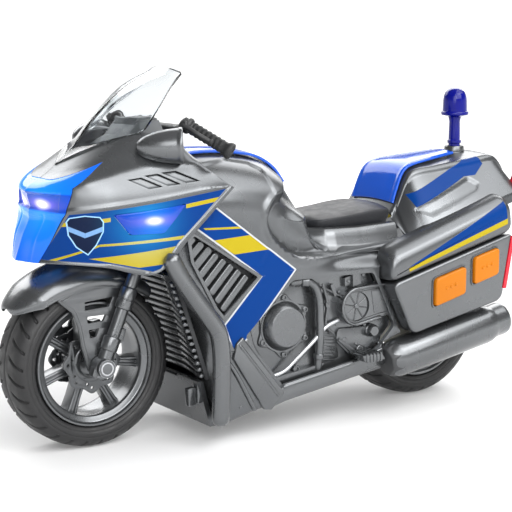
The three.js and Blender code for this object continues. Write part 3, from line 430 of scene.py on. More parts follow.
class Look:
    """A node material in the making."""

    def __init__(self, name, base, roughness=0.4, metallic=0.0):
        self.material = bpy.data.materials.new(name)
        self.material.use_nodes = True
        self.tree = self.material.node_tree
        self.shader = self.tree.nodes["Principled BSDF"]
        self.position = self.node("ShaderNodeTexCoord").outputs["Object"]
        self.set(Roughness=roughness, Metallic=metallic)
        self.base = self.rgb(base)
        self.put("Base Color", self.base)

    def node(self, kind, inputs=None, **settings):
        made = self.tree.nodes.new(kind)
        for key, value in settings.items():
            setattr(made, key, value)
        for key, value in (inputs or {}).items():
            if isinstance(value, bpy.types.NodeSocket):
                self.tree.links.new(value, made.inputs[key])
            else:
                made.inputs[key].default_value = value
        return made

    def set(self, **values):
        for key, value in values.items():
            self.shader.inputs[key.replace("_", " ")].default_value = value

    def put(self, socket, value):
        self.tree.links.new(value, self.shader.inputs[socket])

    def rgb(self, code):
        made = self.node("ShaderNodeRGB")
        made.outputs[0].default_value = colour(code)
        return made.outputs[0]

    def math(self, operation, a, b=0.0):
        return self.node("ShaderNodeMath", {0: a, 1: b}, operation=operation).outputs[0]

    def less(self, mask):
        """The opposite of a mask."""
        return self.math("SUBTRACT", 1.0, mask)

    def vector(self, operation, a, b=(0, 0, 0), output=0):
        return self.node("ShaderNodeVectorMath", {0: a, 1: b}, operation=operation).outputs[output]

    def span(self, value, low, high, to_low=0.0, to_high=1.0):
        made = self.node("ShaderNodeMapRange", {0: value, 1: low, 2: high, 3: to_low, 4: to_high})
        return made.outputs[0]

    def mix(self, factor, a, b):
        made = self.node("ShaderNodeMix", data_type="RGBA", clamp_factor=True)
        for socket, value in ((0, factor), (6, a), (7, b)):
            if isinstance(value, str):
                value = self.rgb(value)
            if isinstance(value, bpy.types.NodeSocket):
                self.tree.links.new(value, made.inputs[socket])
            else:
                made.inputs[socket].default_value = value
        return made.outputs[2]

    def noise(self, scale, detail=2.0, roughness=0.5, stretch=None):
        where = self.position
        if stretch:
            where = self.vector("MULTIPLY", where, stretch)
        inputs = {"Vector": where, "Scale": scale, "Detail": detail, "Roughness": roughness}
        return self.node("ShaderNodeTexNoise", inputs).outputs["Fac"]

    def vary(self, amount, scale):
        """Soft cloudy variation of the base colour."""
        cloud = self.span(self.noise(scale), 0.3, 0.7, 1 - amount, 1 + amount)
        lit = self.node("ShaderNodeVectorMath", {0: self.base, "Scale": cloud}, operation="SCALE")
        self.base = lit.outputs[0]
        self.put("Base Color", self.base)
        return self

    def rough(self, low, high, scale):
        self.roughness = self.span(self.noise(scale, 3.0), 0.35, 0.65, low, high)
        self.put("Roughness", self.roughness)
        return self

    def bump(self, height, depth_mm, strength=1.0):
        inputs = {"Height": height, "Distance": depth_mm * MM, "Strength": strength}
        if getattr(self, "normal", None) is not None:
            inputs["Normal"] = self.normal
        self.normal = self.node("ShaderNodeBump", inputs).outputs[0]
        self.put("Normal", self.normal)
        return self

    def along(self, direction):
        """Distance in mm along a direction."""
        scaled = [component / MM for component in direction]
        return self.vector("DOT_PRODUCT", self.position, scaled, "Value")

    def inside(self, outline, soft=0.1):
        """Mask of a convex side-view outline (x, z)."""
        pts = [np.array(p, float) for p in outline]
        area = sum(p[0] * q[1] - q[0] * p[1] for p, q in zip(pts, pts[1:] + pts[:1]))
        turn = math.copysign(1, area)
        lowest = None
        for p, q in zip(pts, pts[1:] + pts[:1]):
            n = np.array([-(q - p)[1], (q - p)[0]]) / np.linalg.norm(q - p) * turn
            reach = self.math("SUBTRACT", self.along((n[0], 0, n[1])), float(n @ p))
            lowest = reach if lowest is None else self.math("MINIMUM", lowest, reach)
        return self.span(lowest, -soft, soft)

    def band(self, p, q, low, high, soft=0.1):
        """Mask of a stripe beside the side-view line from p to q."""
        p, q = np.array(p, float), np.array(q, float)
        n = np.array([-(q - p)[1], (q - p)[0]]) / np.linalg.norm(q - p)
        reach = self.along((n[0], 0, n[1]))
        start = float(n @ p)
        above = self.span(reach, start + low - soft, start + low + soft)
        below = self.span(reach, start + high - soft, start + high + soft, 1.0, 0.0)
        return self.math("MULTIPLY", above, below)

    def any_of(self, *masks):
        out = masks[0]
        for mask in masks[1:]:
            out = self.math("MAXIMUM", out, mask)
        return out

    def both(self, a, b):
        return self.math("MULTIPLY", a, b)

    def printed(self, *layers):
        """Glossy stickers over the base: (mask, colour), the last on top."""
        cover = self.any_of(*[mask for mask, _ in layers])
        for mask, code in layers:
            self.base = self.mix(mask, self.base, code)
        self.put("Base Color", self.base)
        self.put("Metallic", self.span(cover, 0, 1, self.shader.inputs["Metallic"].default_value, 0.0))
        self.put("Roughness", self.mix_value(cover, self.roughness, STICKER_ROUGHNESS))
        self.set(Specular_IOR_Level=0.1, Coat_Weight=0.0)
        self.bump(cover, 0.06)
        return self

    def mix_value(self, factor, a, b):
        made = self.node("ShaderNodeMix", {0: factor, 2: a, 3: b}, data_type="FLOAT")
        return made.outputs[0]


def silver(name, code=SILVER):
    """Moulded plastic with fine metal flake."""
    look = Look(name, code, metallic=0.85)
    spark = look.span(look.noise(6500.0, 1.0), 0.5, 0.78, 0.0, 0.05)
    look.base = look.mix(spark, look.base, FLAKE)
    look.vary(0.04, 26.0)
    look.rough(0.25, 0.3, 40.0)
    look.bump(look.noise(3200.0, 1.0), 0.001, 0.5)
    look.bump(look.noise(30.0, 0.0), 0.05, 0.15)
    look.set(Coat_Weight=0.3, Coat_Roughness=0.1)
    return look


def plastic(name, code, low=0.2, high=0.32, grain=0.012, tint=0.04):
    """Moulded plastic of one colour with a fine mould grain."""
    look = Look(name, code)
    look.vary(tint, 35.0)
    look.rough(low, high, 180.0)
    look.bump(look.noise(1900.0, 2.0), grain, 0.6)
    look.bump(look.noise(45.0, 0.0), 0.08, 0.2)
    return look


def tyre_look():
    """Matt vinyl, a little cloudy."""
    look = Look("tyre_vinyl", "#232324")
    look.vary(0.18, 60.0)
    look.rough(0.42, 0.62, 240.0)
    look.bump(look.noise(1500.0, 4.0, 0.6), 0.03)
    return look


def seat_look():
    """Vinyl with a fine leather grain."""
    look = Look("seat_grain", "#2B2C2F")
    where = {"Vector": look.position, "Scale": 900.0}
    cells = look.node("ShaderNodeTexVoronoi", where, feature="DISTANCE_TO_EDGE")
    pores = look.span(cells.outputs["Distance"], 0.0, 0.16)
    look.vary(0.12, 40.0)
    look.base = look.mix(look.math("MULTIPLY", look.less(pores), 0.35), look.base, PORE)
    look.put("Base Color", look.base)
    look.rough(0.38, 0.5, 200.0)
    look.bump(pores, 0.03)
    look.set(Specular_IOR_Level=0.25)
    return look


def steel_look():
    """Drawn steel with marks along the axle."""
    look = Look("drawn_steel", "#C2C4C7", metallic=1.0)
    look.vary(0.06, 90.0)
    look.rough(0.2, 0.34, 300.0)
    look.bump(look.noise(900.0, 2.0, 0.5, (1.0, 12.0, 12.0)), 0.008)
    return look


def clear_look():
    """Clear styrene."""
    look = Look("clear_styrene", "#F4F8FA", 0.03)
    look.rough(0.015, 0.05, 120.0)
    look.bump(look.noise(45.0, 1.0), 0.04, 0.25)
    look.set(Transmission_Weight=1.0, IOR=1.45)
    return look


def glow(look, centre, reach, wide=1.0, tall=1.0):
    """1 at a lamp and at its mirror image, falling to 0 at reach; larger factors narrow it."""
    away = look.vector("SUBTRACT", look.vector("ABSOLUTE", look.position), [c * MM for c in centre])
    squeezed = look.vector("MULTIPLY", away, (wide, wide, tall))
    return look.span(look.vector("LENGTH", squeezed, output="Value"), reach * MM, 0.0)


def lens_look(name, deep, lit, centre, reach, box=None):
    """Tinted lens with a lamp behind it: white core, pink fringe and cyan spill."""
    look = Look(name, deep)
    look.vary(0.08, 50.0)
    core = look.math("POWER", glow(look, centre, reach, tall=2.1), 2.6)
    fringe = look.math("POWER", glow(look, centre, reach * 1.45, 0.85, 3.4), 1.6)
    spill = look.math("POWER", glow(look, centre, reach * 2.6), 1.5)
    body = look.rgb(lit)
    if box is not None:
        dark = look.inside(box, 0.4)
        body = look.mix(look.math("MULTIPLY", dark, 0.92), body, LAMP_BOX)
        spill = look.both(spill, look.less(look.math("MULTIPLY", dark, 0.6)))
    tone = look.mix(look.math("MULTIPLY", spill, 0.7), body, LAMP_SPILL)
    tone = look.mix(look.math("MULTIPLY", fringe, 0.45), tone, LAMP_FRINGE)
    tone = look.mix(look.span(core, 0.08, 0.5), tone, WHITE_LIGHT)
    look.put("Emission Color", tone)
    spread = look.math("ADD", look.math("MULTIPLY", spill, 0.5), 0.55)
    look.put("Emission Strength", look.math("ADD", look.math("MULTIPLY", core, 4.0), spread))
    look.rough(0.06, 0.12, 150.0)
    look.bump(look.noise(70.0, 1.0), 0.04, 0.2)
    look.set(Coat_Weight=0.1, Coat_Roughness=0.05, Specular_IOR_Level=0.3)
    return look


def shade(obj, angle):
    """Smooth shading up to the angle."""
    for face in obj.data.polygons:
        face.use_smooth = True
    obj.data.set_sharp_from_angle(angle=math.radians(angle))


def place(obj, look, body=CHASSIS, stands_for=(), angle=SHADE_ANGLE):
    """Gives a finished piece its material and body, and hides the CAD nodes it stands for."""
    obj.data.materials.clear()
    obj.data.materials.append(look.material)
    shade(obj, angle)
    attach(obj, body)
    if stands_for:
        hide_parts(*stands_for)
    return obj


def pair(obj, base, look, slot, stands_for=None, bodies=None, angle=SHADE_ANGLE):
    """Left piece and its mirror image on the right."""
    obj.name = base + "_left"
    twin = mirrored(obj, base + "_right")
    for one, side in ((obj, "left"), (twin, "right")):
        nodes = [f"{stands_for}_{side}"] if stands_for else []
        place(one, look, bodies[side] if bodies else CHASSIS, nodes, angle)
    return obj, twin


# ------------------------------------------------------------------ front fairing
FAIRING_NET = [
    [[135, 0, 90], [131, 12.5, 90], [122, 22, 90], [106, 32, 88.5], [84, 38.5, 84.5], [66, 41, 101],
     [44, 41.5, 121.5]],
    [[131.5, 0, 100], [129, 14.5, 100], [121.5, 25, 101], [106, 34.5, 101], [84, 40.3, 101],
     [64, 41.5, 108], [46, 41.5, 122.5]],
    [[127.5, 0, 110], [125, 15, 111], [120.5, 26, 113], [105, 35.5, 114.5], [84, 41.3, 117],
     [62, 41.5, 120], [49, 41, 124.5]],
    [[129.5, 0, 121], [126, 14.5, 122.5], [118, 26, 124.5], [104, 33, 126], [83, 38, 129],
     [64, 38.5, 130], [54, 39.5, 128.5]],
    [[119, 0, 128.5], [115, 13, 130.5], [107, 22, 133.5], [97, 27, 136], [80, 32, 139],
     [67, 33.5, 137.5], [59, 36, 133]],
    [[107, 0, 138], [101, 10, 141], [93, 16.5, 144], [84, 22.5, 146.5], [74, 26.5, 146.5],
     [67, 28, 143.5], [62, 31, 137.5]],
]
LENS_OUTLINE = [(131.5, 86), (121.5, 113), (118.3, 124), (102.5, 134.8), (123.3, 125.8), (140, 128),
                (142, 86)]
SIDE_LAMP = [(103, 112), (70, 115.3), (80.5, 103), (96, 103)]
STICKER = [(120.8, 113.2), (45.6, 122.3), (72.5, 97.5), (80.8, 86.0), (84.9, 84.6), (103.4, 89.1),
           (131.1, 91.0)]
BADGE = [(114.6, 112.1), (120.2, 111.0), (121.3, 109.2), (120.7, 103.1), (117.6, 97.7), (112.7, 94.0),
         (109.8, 98.6), (107.2, 104.8), (107.2, 109.2), (108.6, 111.4)]
VENTS = [[(95.9, 127.3), (89.8, 128.1), (80.8, 123.8), (87.2, 123.1)],
         [(88.3, 128.8), (81.8, 129.4), (71.6, 124.5), (78.2, 124.1)],
         [(80.3, 129.9), (72.9, 130.3), (61.5, 125.4), (68.7, 124.9)]]
CREASE = [(113, 126), (97.9, 130.4), (84.7, 132.1), (59, 133)]
SIDE_LED = (88.5, 38.0, 108.5)


def fairing_look():
    """Silver with the blue and yellow sticker, the plain shield and the lit patch around the side lamp."""
    look = silver("fairing_silver")
    edge = offset(STICKER, -0.9)
    blue = look.any_of(look.inside([edge[i] for i in (0, 1, 2, 5, 6)]),
                       look.inside([edge[2], edge[3], edge[4], edge[5], (95, 104)]))
    stripes = look.any_of(
        look.both(look.band((121, 108.9), (51.6, 117.6), 0, 1.8), look.any_of(
            look.band((104.5, 100), (104.5, 120), -30, 0), look.band((69.5, 100), (69.5, 120), 0, 40))),
        look.inside([(108.5, 99.0), (50, 102.3), (50, 100.4), (108.5, 98.0)]),
        look.inside([(108.5, 99.0), (108.5, 98.0), (125, 91.0), (126.5, 91.6)]),
        look.inside([(112.1, 92.4), (66, 97.4), (70, 89.4), (91.2, 87.7)]))
    pale = look.inside(BADGE)
    navy = look.inside(offset(BADGE, -0.45))
    front_arm = look.inside([(114.4, 104.2), (121, 107.4), (121, 105.2), (114.4, 102.0)])
    back_arm = look.inside([(114.4, 104.2), (107, 107.4), (107, 105.2), (114.4, 102.0)])
    chevron = look.both(navy, look.any_of(front_arm, back_arm))
    # painted shade: a dark ring just inside each vent's edge darkens the silver where the recess falls into
    # shadow
    for outline in VENTS:
        groove = look.both(look.inside(offset(outline, 0.1)),
                           look.less(look.inside(offset(outline, -0.7), 0.3)))
        look.base = look.mix(look.math("MULTIPLY", groove, 0.75), look.base, PAINTED_VENT_SHADE)
    look.printed((blue, BLUE), (look.both(blue, stripes), YELLOW), (pale, PALE_BLUE), (navy, NAVY_PRINT),
                 (chevron, CHEVRON_BLUE))
    lamp = look.vector("DISTANCE", look.position, [c * MM for c in SIDE_LED], "Value")
    halo = look.math("POWER", look.span(lamp, 30 * MM, 6 * MM), 2.6)
    look.put("Emission Color", look.rgb(HALO))
    look.put("Emission Strength", look.math("MULTIPLY", look.both(halo, blue), 0.4))
    return look


def fairing_lift(grid):
    """Recessed sticker field with a raised rim, and the crease above it."""
    side_view = grid[..., [0, 2]]
    inside = depth_inside(side_view, STICKER)
    lift = -0.45 * ramp(inside, 0.2, 1.1)
    rim = bead(inside + 0.5, 0.9)
    lift = lift + 0.45 * rim * (side_view[..., 1] < 122)
    lift = lift + 0.5 * bead(path_distance(side_view, CREASE), 2.2)
    return lift


def build_fairing():
    """Fairing skin with openings for the lenses and three floored vents."""
    across = np.linspace(0, 1, 150)
    along = np.linspace(0, 1, 84)
    grid = net_surface(FAIRING_NET, across, along)
    skin = sheet("fairing", grid, 1.8, fairing_lift(grid))
    lens_hole = [(x - (0.3 if i < 3 else 0), z + (0.3 if i == 4 else 0))
                 for i, (x, z) in enumerate(LENS_OUTLINE)]
    lamp_hole = rounded(offset(SIDE_LAMP, 0.3), 1.2)
    carved(skin, prism("hole", lens_hole, -60, 60), prism("lamp", lamp_hole, 20, 60),
           prism("middle", [(0, 50), (200, 50), (200, 200), (0, 200)], -10, 0.17))
    for outline in VENTS:
        carved(skin, prism("hole", rounded(outline, 0.6, 3), 20, 60))
    bevelled(skin, 0.25, 2, 50)
    floors = []
    for outline in VENTS:
        patch = net_surface(FAIRING_NET, np.linspace(0.5, 1, 60), np.linspace(0.3, 0.8, 40))
        floor = sheet("floor", patch, 0.6, -1.0)
        floors.append(carved(floor, prism("edge", offset(outline, 0.4), 20, 60), operation="INTERSECT"))
    return merged("fairing", skin, *floors)


def build_lens():
    """Front lens with a lamp recess, a fold below it and a blade line down each side."""
    grid = both_halves(FAIRING_NET, np.linspace(-0.47, 0.47, 141), np.linspace(0, 1, 90))
    y, z = grid[..., 1], grid[..., 2]
    window = np.stack([np.abs(y) + 100, z], -1)
    box = [(60, 112.6), (121.2, 112.6), (122.6, 121.6), (60, 120.2)]
    lift = -1.3 * ramp(depth_inside(window, box), 0.0, 1.2)
    fold = path_distance(np.stack([np.abs(y), z], -1), [(0, 110.6), (26, 112.8)])
    lift = lift + 0.5 * bead(fold, 1.2)
    blade = path_distance(np.stack([np.abs(y), z], -1), [(9.5, 88), (11.5, 111)])
    lift = lift - 0.35 * bead(blade, 0.8)
    lens = sheet("front_lens_shell", grid, 1.8, lift)
    carved(lens, prism("outline", LENS_OUTLINE, -60, 60), operation="INTERSECT")
    return bevelled(lens, 0.35, 2, 50)


def build_side_lamp():
    grid = net_surface(FAIRING_NET, np.linspace(0.35, 0.95, 70), np.linspace(0.05, 0.75, 50))
    side_view = grid[..., [0, 2]]
    dome = ramp(depth_inside(side_view, SIDE_LAMP), 0.0, 3.2)
    lamp = sheet("side_lamp", grid, 2.6, 0.2 + 0.7 * dome)
    carved(lamp, slab("outline", SIDE_LAMP, 1.2, 20, 60), operation="INTERSECT")
    return bevelled(lamp, 0.35, 2, 50)


SCREEN_NET = [
    [[114.6, 0, 132.6], [106, 9.6, 138.6], [94, 17.4, 143.6], [82.2, 24.2, 147.6]],
    [[106.5, 0, 139.3], [100, 10.5, 142.3], [91, 18, 145.6], [81, 24.5, 149]],
    [[95, 0, 153], [90, 9.5, 154], [83, 17, 156], [73, 22.5, 157.5]],
    [[78, 0, 167], [75.5, 8.5, 167], [70.5, 14.5, 166.8], [65, 19, 166]],
    [[59, 0, 175.5], [58.8, 6, 175.2], [58, 11, 174.5], [56.5, 15, 173.3]],
]


def build_screen():
    """Clear screen with a bead along its top and side edges."""
    grid = both_halves(SCREEN_NET, np.linspace(-1, 1, 81), np.linspace(0, 1, 70))
    rows, columns = grid.shape[:2]
    row, column = np.mgrid[:rows, :columns].astype(float)
    edge = np.minimum.reduce([row, rows - 1 - row, columns - 1 - column])
    lift = 0.35 * (1 - ramp(edge, 0, 3.5))
    return bevelled(sheet("screen", grid, 1.7, lift), 0.4, 3, 50)


def build_dash():
    pod = prism("pod", [(95.5, 134), (88, 141.8), (80, 145.8), (77.8, 152.6), (67, 152.6), (66, 140),
                        (66, 134)], -11, 11, 0.7, 3)
    carved(pod, prism("facet", [(96, 133), (96, 160), (60, 160), (60, 133)], 11, 12))
    hood = loft("hood", [[(95, -10, 135), (95, 10, 135), (95, 15, 133), (95, -15, 133)],
                         [(84, -11.5, 143.2), (84, 11.5, 143.2), (84, 20, 137), (84, -20, 137)],
                         [(77.4, -12.5, 151), (77.4, 12.5, 151), (77.4, 21.5, 139.5), (77.4, -21.5, 139.5)],
                         [(66.5, -12, 151.6), (66.5, 12, 151.6), (66.5, 22, 140), (66.5, -22, 140)]])
    bevelled(hood, 0.6, 3)
    shelf = prism("shelf", [(92, 133.5), (92, 137), (66, 137), (66, 133.5)], -19, 19, 0.6)
    rings = [lathe("ring", [(4.6, 0), (5.4, 0), (5.6, 0.9), (4.9, 1.3), (4.5, 0.5)],
                   (66.6, y, 147.3), (60, y, 149), 48) for y in (-5.8, 5.8)]
    faces = [knob("dial", (66.8, y, 147.3), (66.2, y, 147.45), 4.7, 0.1, 48) for y in (-5.8, 5.8)]
    return merged("dash_binnacle", pod, hood, shelf, *rings, *faces)


GRIP_START = (65, 34.5, 150.5)
GRIP_END = (50.5, 50, 138.5)


def build_handlebar():
    start, end = np.array(GRIP_START), np.array(GRIP_END)
    along = (end - start) / np.linalg.norm(end - start)
    length = float(np.linalg.norm(end - start))
    profile = [(0, 0), (3.4, 0), (3.8, 0.4), (3.9, 1.3), (3.5, 2.2), (2.9, 2.7)]
    count = 7
    for k in range(count):
        at = 3.2 + k * (length - 7.4) / count
        profile += [(2.85, at), (3.1, at + 0.35), (3.1, at + 1.2), (2.85, at + 1.5)]
    profile += [(3.0, length - 3.4), (3.7, length - 2.4), (4.0, length - 1.4), (3.9, length - 0.4),
                (3.4, length), (1.2, length), (1.0, length - 0.6), (0, length - 0.6)]
    grip = lathe("grip", profile, start, end, 48)
    lever_start = start + along * 1.6 + np.array([4.0, 1.4, 0.8])
    mid = lever_start + along * 8 + np.array([0.8, 0.3, 0.2])
    lever_end = lever_start + along * 14.6
    lever = sweep("lever", [lever_start, mid, lever_end], lambda t: 1.25 - 0.25 * t, 16, 40)
    tip = knob("tip", lever_end - along * 0.6, lever_end + along * 1.4, 1.35, 0.4, 24)
    perch = knob("perch", start + along * 0.2 + np.array([-0.6, 0, -0.6]),
                 lever_start + np.array([0.6, 0.2, 0.3]), 2.1, 0.5, 24)
    pod = knob("pod", start - along * 2.4, start + along * 0.6, 3.0, 0.7, 40)
    cross = sweep("cross", [(60, 0, 147.5), (60, 14, 147.5), (60.6, 21, 147.8), tuple(start - along)], 2.2,
                  20, 60)
    left = merged("left", grip, lever, tip, perch, pod, cross)
    right = mirrored(left, "right")
    return merged("handlebar_assembly", left, right)


def build_hand_guard():
    axis_start, axis_end = (89, 30.5, 141), (70.2, 41, 141.8)
    profile = [(0, 0), (1.3, 0.25), (2.6, 0.9), (4.1, 2.6), (5.2, 4.6), (6.2, 7.4), (7.0, 10.6),
               (7.55, 14), (7.9, 18), (8.0, 19.2), (8.35, 19.6), (8.35, 20.9), (8.0, 21.3), (7.3, 21.3),
               (6.6, 20.4), (0, 20.2)]
    return lathe("hand_guard_cone", profile, axis_start, axis_end, 96)


# ------------------------------------------------------------------ body halves
SEAM = 0.17
# x, crown height, shoulder height and half width, waist height and half width, sill height
BODY_STATIONS = [
    [70, 131, 110, 34, 85, 37, 7],
    [50, 135, 110, 36, 85, 38, 8.5],
    [30, 134.5, 108, 36.5, 80, 38, 13],
    [12, 131, 103, 36.5, 78, 38, 16],
    [2, 124, 97, 36, 77, 38, 17.5],
    [-8, 110, 90, 35, 76, 38, 19],
    [-14, 99, 86, 34, 76, 38, 19.9],
    [-17, 94.6, 84.5, 33.5, 76, 38, 20.4],
    [-22, 92.6, 84, 33, 76, 38, 21],
    [-40, 91, 83, 31.5, 76, 38, 23.5],
    [-52, 92, 83, 31.5, 76, 38, 25.2],
    [-62, 94, 83, 31.5, 76, 38, 26.6],
]
ENGINE_OPENING = [(9, 74.5), (-39, 74), (-52.5, 46), (-42.5, 35.5), (-28, 30), (14, 23), (36, 50)]
GRILLE_OPENING = [(63.5, 101.5), (27.2, 78.2), (47.8, 59.5), (52.5, 65), (65, 88), (66.8, 99)]
TANK_EDGE = [(48, 131.5), (34.3, 133.2), (22.4, 131.0), (16.9, 127.5), (16.2, 123), (16.1, 119.7),
             (15.4, 115.4), (19.7, 110), (22.7, 106)]
KNEE_EDGE = [tuple(p) for p in curve([(16.0, 116.6), (21.6, 110.6), (23.8, 104), (22.2, 98), (17.7, 92.2),
                                      (10.8, 87.2), (3.9, 84.2), (-5, 83.2)], 40)]
BASE_RIDGE = [(-5, 83.2), (-19.5, 83.4), (-37.6, 84.6), (-50.8, 85.6), (-61.8, 87)]
L_OUTLINE = [(60.7, 103.6), (51.1, 112.1), (8.1, 79.6), (41.5, 42.3), (46.8, 56.8), (26.3, 78.0)]


def body_look():
    """Silver with the L-shaped blue sticker, its two yellow stripes and a pale trim line."""
    look = silver("body_silver")
    masks = []
    for grow in (0.0, 0.8):
        tip, top, elbow, foot, toe, crook = offset(L_OUTLINE, grow)
        masks.append(look.any_of(look.inside([tip, top, elbow, crook]),
                                 look.inside([elbow, foot, toe, crook]),
                                 look.inside([(22, 86), (10.5, 79.4), (20, 70), (25, 78)])))
    blue, trim = masks
    stripes = look.any_of(look.inside([(56.8, 102.8), (30, 102.1), (30, 101.0), (55.8, 101.9)]),
                          look.inside([(53.1, 96.8), (25, 98.3), (15, 90.7), (41.2, 89.5)]))
    look.printed((trim, STICKER_TRIM), (blue, BLUE), (look.both(blue, stripes), YELLOW))
    return look


def body_grid():
    """Left half of the body: crown, flank, waist and rounded sill at each station."""
    rings = []
    for sx, top, shoulder_z, shoulder_y, waist_z, waist_y, bottom in curve(BODY_STATIONS, 300):
        ring = []
        for turn in np.linspace(0, math.pi / 2, 111):
            ring.append((sx, max(shoulder_y * math.sin(turn), SEAM),
                         shoulder_z + (top - shoulder_z) * math.cos(turn) ** 0.9))
        for s in np.linspace(0, 1, 16)[1:]:
            ease = s * s * (3 - 2 * s)
            ring.append((sx, shoulder_y + (waist_y - shoulder_y) * ease,
                         shoulder_z + (waist_z - shoulder_z) * s))
        for s in np.linspace(0, 1, 9)[1:]:
            ring.append((sx, waist_y, waist_z + (bottom + 2.5 - waist_z) * s))
        for a in np.linspace(0, math.pi / 2, 6)[1:]:
            ring.append((sx, waist_y - 2.5 * (1 - math.cos(a)), bottom + 2.5 * (1 - math.sin(a))))
        for s in np.linspace(0, 1, 6)[1:]:
            ring.append((sx, (waist_y - 2.5) * (1 - s) + SEAM * s, bottom))
        rings.append(ring)
    return np.array(rings)


def wheel_space(centre, half_width, gap):
    """Round cutter that keeps a gap around a wheel."""
    x, z = centre[0], centre[2]
    return pin("wheel_space", x, z, -half_width, half_width, TYRE_RADIUS + gap, 0.1, 96)


def build_body():
    """Left body half with its knee hollow, tank step and openings."""
    grid = body_grid()
    side_view = grid[..., [0, 2]]
    panel = [(80, 135)] + TANK_EDGE + [(24, 100), (20, 92), (26, 84), (60, 84), (80, 84)]
    tank = -0.75 * ramp(depth_inside(side_view, panel), 0.0, 1.4)
    hollow = KNEE_EDGE + BASE_RIDGE[1:] + [(-70, 85.7), (-70, 150), (-20, 150), (4, 124), (10, 118)]
    inward = depth_inside(side_view, hollow)
    x = side_view[..., 0]
    deepest = 1.4 + 5.0 * ramp(x, -30, -12) * (1 - 0.35 * ramp(x, 4, 22))
    dish = ramp(inward, 0.0, 4.6) * (1 - 0.75 * ramp(inward, 8, 26))
    shoulder = 2.6 * bead(inward - 8.5, 3.4) * ramp(x, -10, -20)
    ridge = 0.9 * bead(inward, 1.7) * ramp(side_view[..., 1], 118, 113)
    flank = ramp(grid[..., 1], 9, 20)
    lift = np.where(grid[..., 2] > 80.5, tank + flank * (ridge + shoulder - deepest * dish), 0.0)
    shell = sheet("body", grid, 2.2, lift, -1.0)
    nose = prism("nose", [(71, 145), (71, 93), (57, 64), (50.5, 53), (50.5, 0), (90, 0), (90, 145)], -5, 60)
    well = wheel_space(REAR, 15, 3.5)
    luggage = prism("luggage", [(-42.6, 76.6), (-42.6, 71), (-56.3, 42), (-44.5, 38), (-44.5, 10), (-70, 10),
                                (-70, 79)], 27.7, 60)
    engine = slab("engine", ENGINE_OPENING, 2, 33, 45)
    grille = slab("grille", GRILLE_OPENING, 1, 33, 45)
    carved(shell, nose, well, luggage, engine, grille)
    return bevelled(shell, 0.5, 3, 50)


def build_frame_rails():
    """Raised frame members around the engine, on the body side."""
    upper = prism("upper", [(41.6, 47.5), (38.0, 50.5), (14.2, 20.4), (21.8, 12.9), (25.8, 13.6),
                            (43.4, 40.5)], 36.5, 39.6, 0.9, 3)
    ridge = sweep("ridge", [(39.6, 39.2, 46.4), (30, 39.2, 34.6), (18.2, 39.2, 19.8)], 0.9, 12, 30)
    belly = prism("belly", [(19.6, 19.6), (14.0, 24.6), (-30, 31.6), (-44.6, 36.0), (-46.5, 27.2),
                            (-20, 21.4), (14, 16.0), (21, 14)], 36.5, 39.2, 0.9, 3)
    lip = sweep("lip", [(14.6, 38.9, 23.2), (-6, 38.9, 26.6), (-28, 38.9, 30.4), (-43.6, 38.9, 35.0)], 0.8,
                12, 40)
    strut = prism("strut", [(51.4, 52.0), (49.0, 56.2), (41.4, 43.6), (46.8, 44.2)], 36.5, 38.9, 0.6, 3)
    brace = sweep("brace", [(49.5, 38.3, 44), (42, 38.3, 34), (31, 38.3, 14.6)], 1.1, 12, 30)
    places = [(46.5, 15.5), (38.5, 16.2), (48.4, 39.5), (46.6, 27)]
    screws = [pin("screw", x, z, 37.5, 38.5, 0.9, 0.2, 20) for x, z in places]
    return merged("frame_rails", upper, ridge, belly, lip, strut, brace, *screws)


def build_side_grille():
    """Eight slanted slats, the frame round them and the dark plate behind."""
    plate = slab("plate", offset(GRILLE_OPENING, 1.2), 1, 31, 33)
    opening = offset(GRILLE_OPENING, -0.3)
    slats = []
    for i in range(8):
        head = np.array([62.4 - i * 4.06, 99.2 - i * 2.89])
        foot = np.array([69.4 - i * 3.06, 92.9 - i * 4.21])
        along = (foot - head) / np.linalg.norm(foot - head)
        side = np.array([along[1], -along[0]]) * 1.75
        outline = rounded([head + side, head - side, foot - side, foot + side], 1.6, 5)
        slat = prism("slat", outline, 32.5, 36.9)
        carved(slat, slab("opening", opening, 0.8, 32, 40), operation="INTERSECT")
        slats.append(bevelled(slat, 0.7, 3, 40))
    rim = slab("rim", offset(GRILLE_OPENING, 0.4), 1, 34, 38.5)
    carved(rim, slab("inside", offset(GRILLE_OPENING, -1.3), 0.8, 30, 45))
    bevelled(rim, 0.4, 2, 50)
    return merged("slats", *slats), merged("grille_frame", rim), plate


def build_tank_cover():
    line = curve([[58.5, 135.7], [46, 137], [30, 136.5], [13, 133.4], [3, 127.4], [-2.9, 120.2]], 90)
    across = np.linspace(-1, 1, 41)
    grid = np.array([[(x, 12 * s, z - s * s * 1.4) for s in across] for x, z in line])
    rim = 0.35 * bead(np.abs(across) - 0.93, 0.05)
    return bevelled(sheet("tank_strip", grid, 1.2, 0.35 + rim[None, :], -1.0), 0.3, 2, 50)


# share of the half width, share of the height above (+) or below (-) the shoulder
SEAT_WALL = [(0.975, 0.30), (0.995, 0.20), (1.0, 0.06), (0.995, -0.12), (0.975, -0.35), (0.95, -0.6),
             (0.925, -0.84), (0.89, -0.97), (0.8, -1.0)]


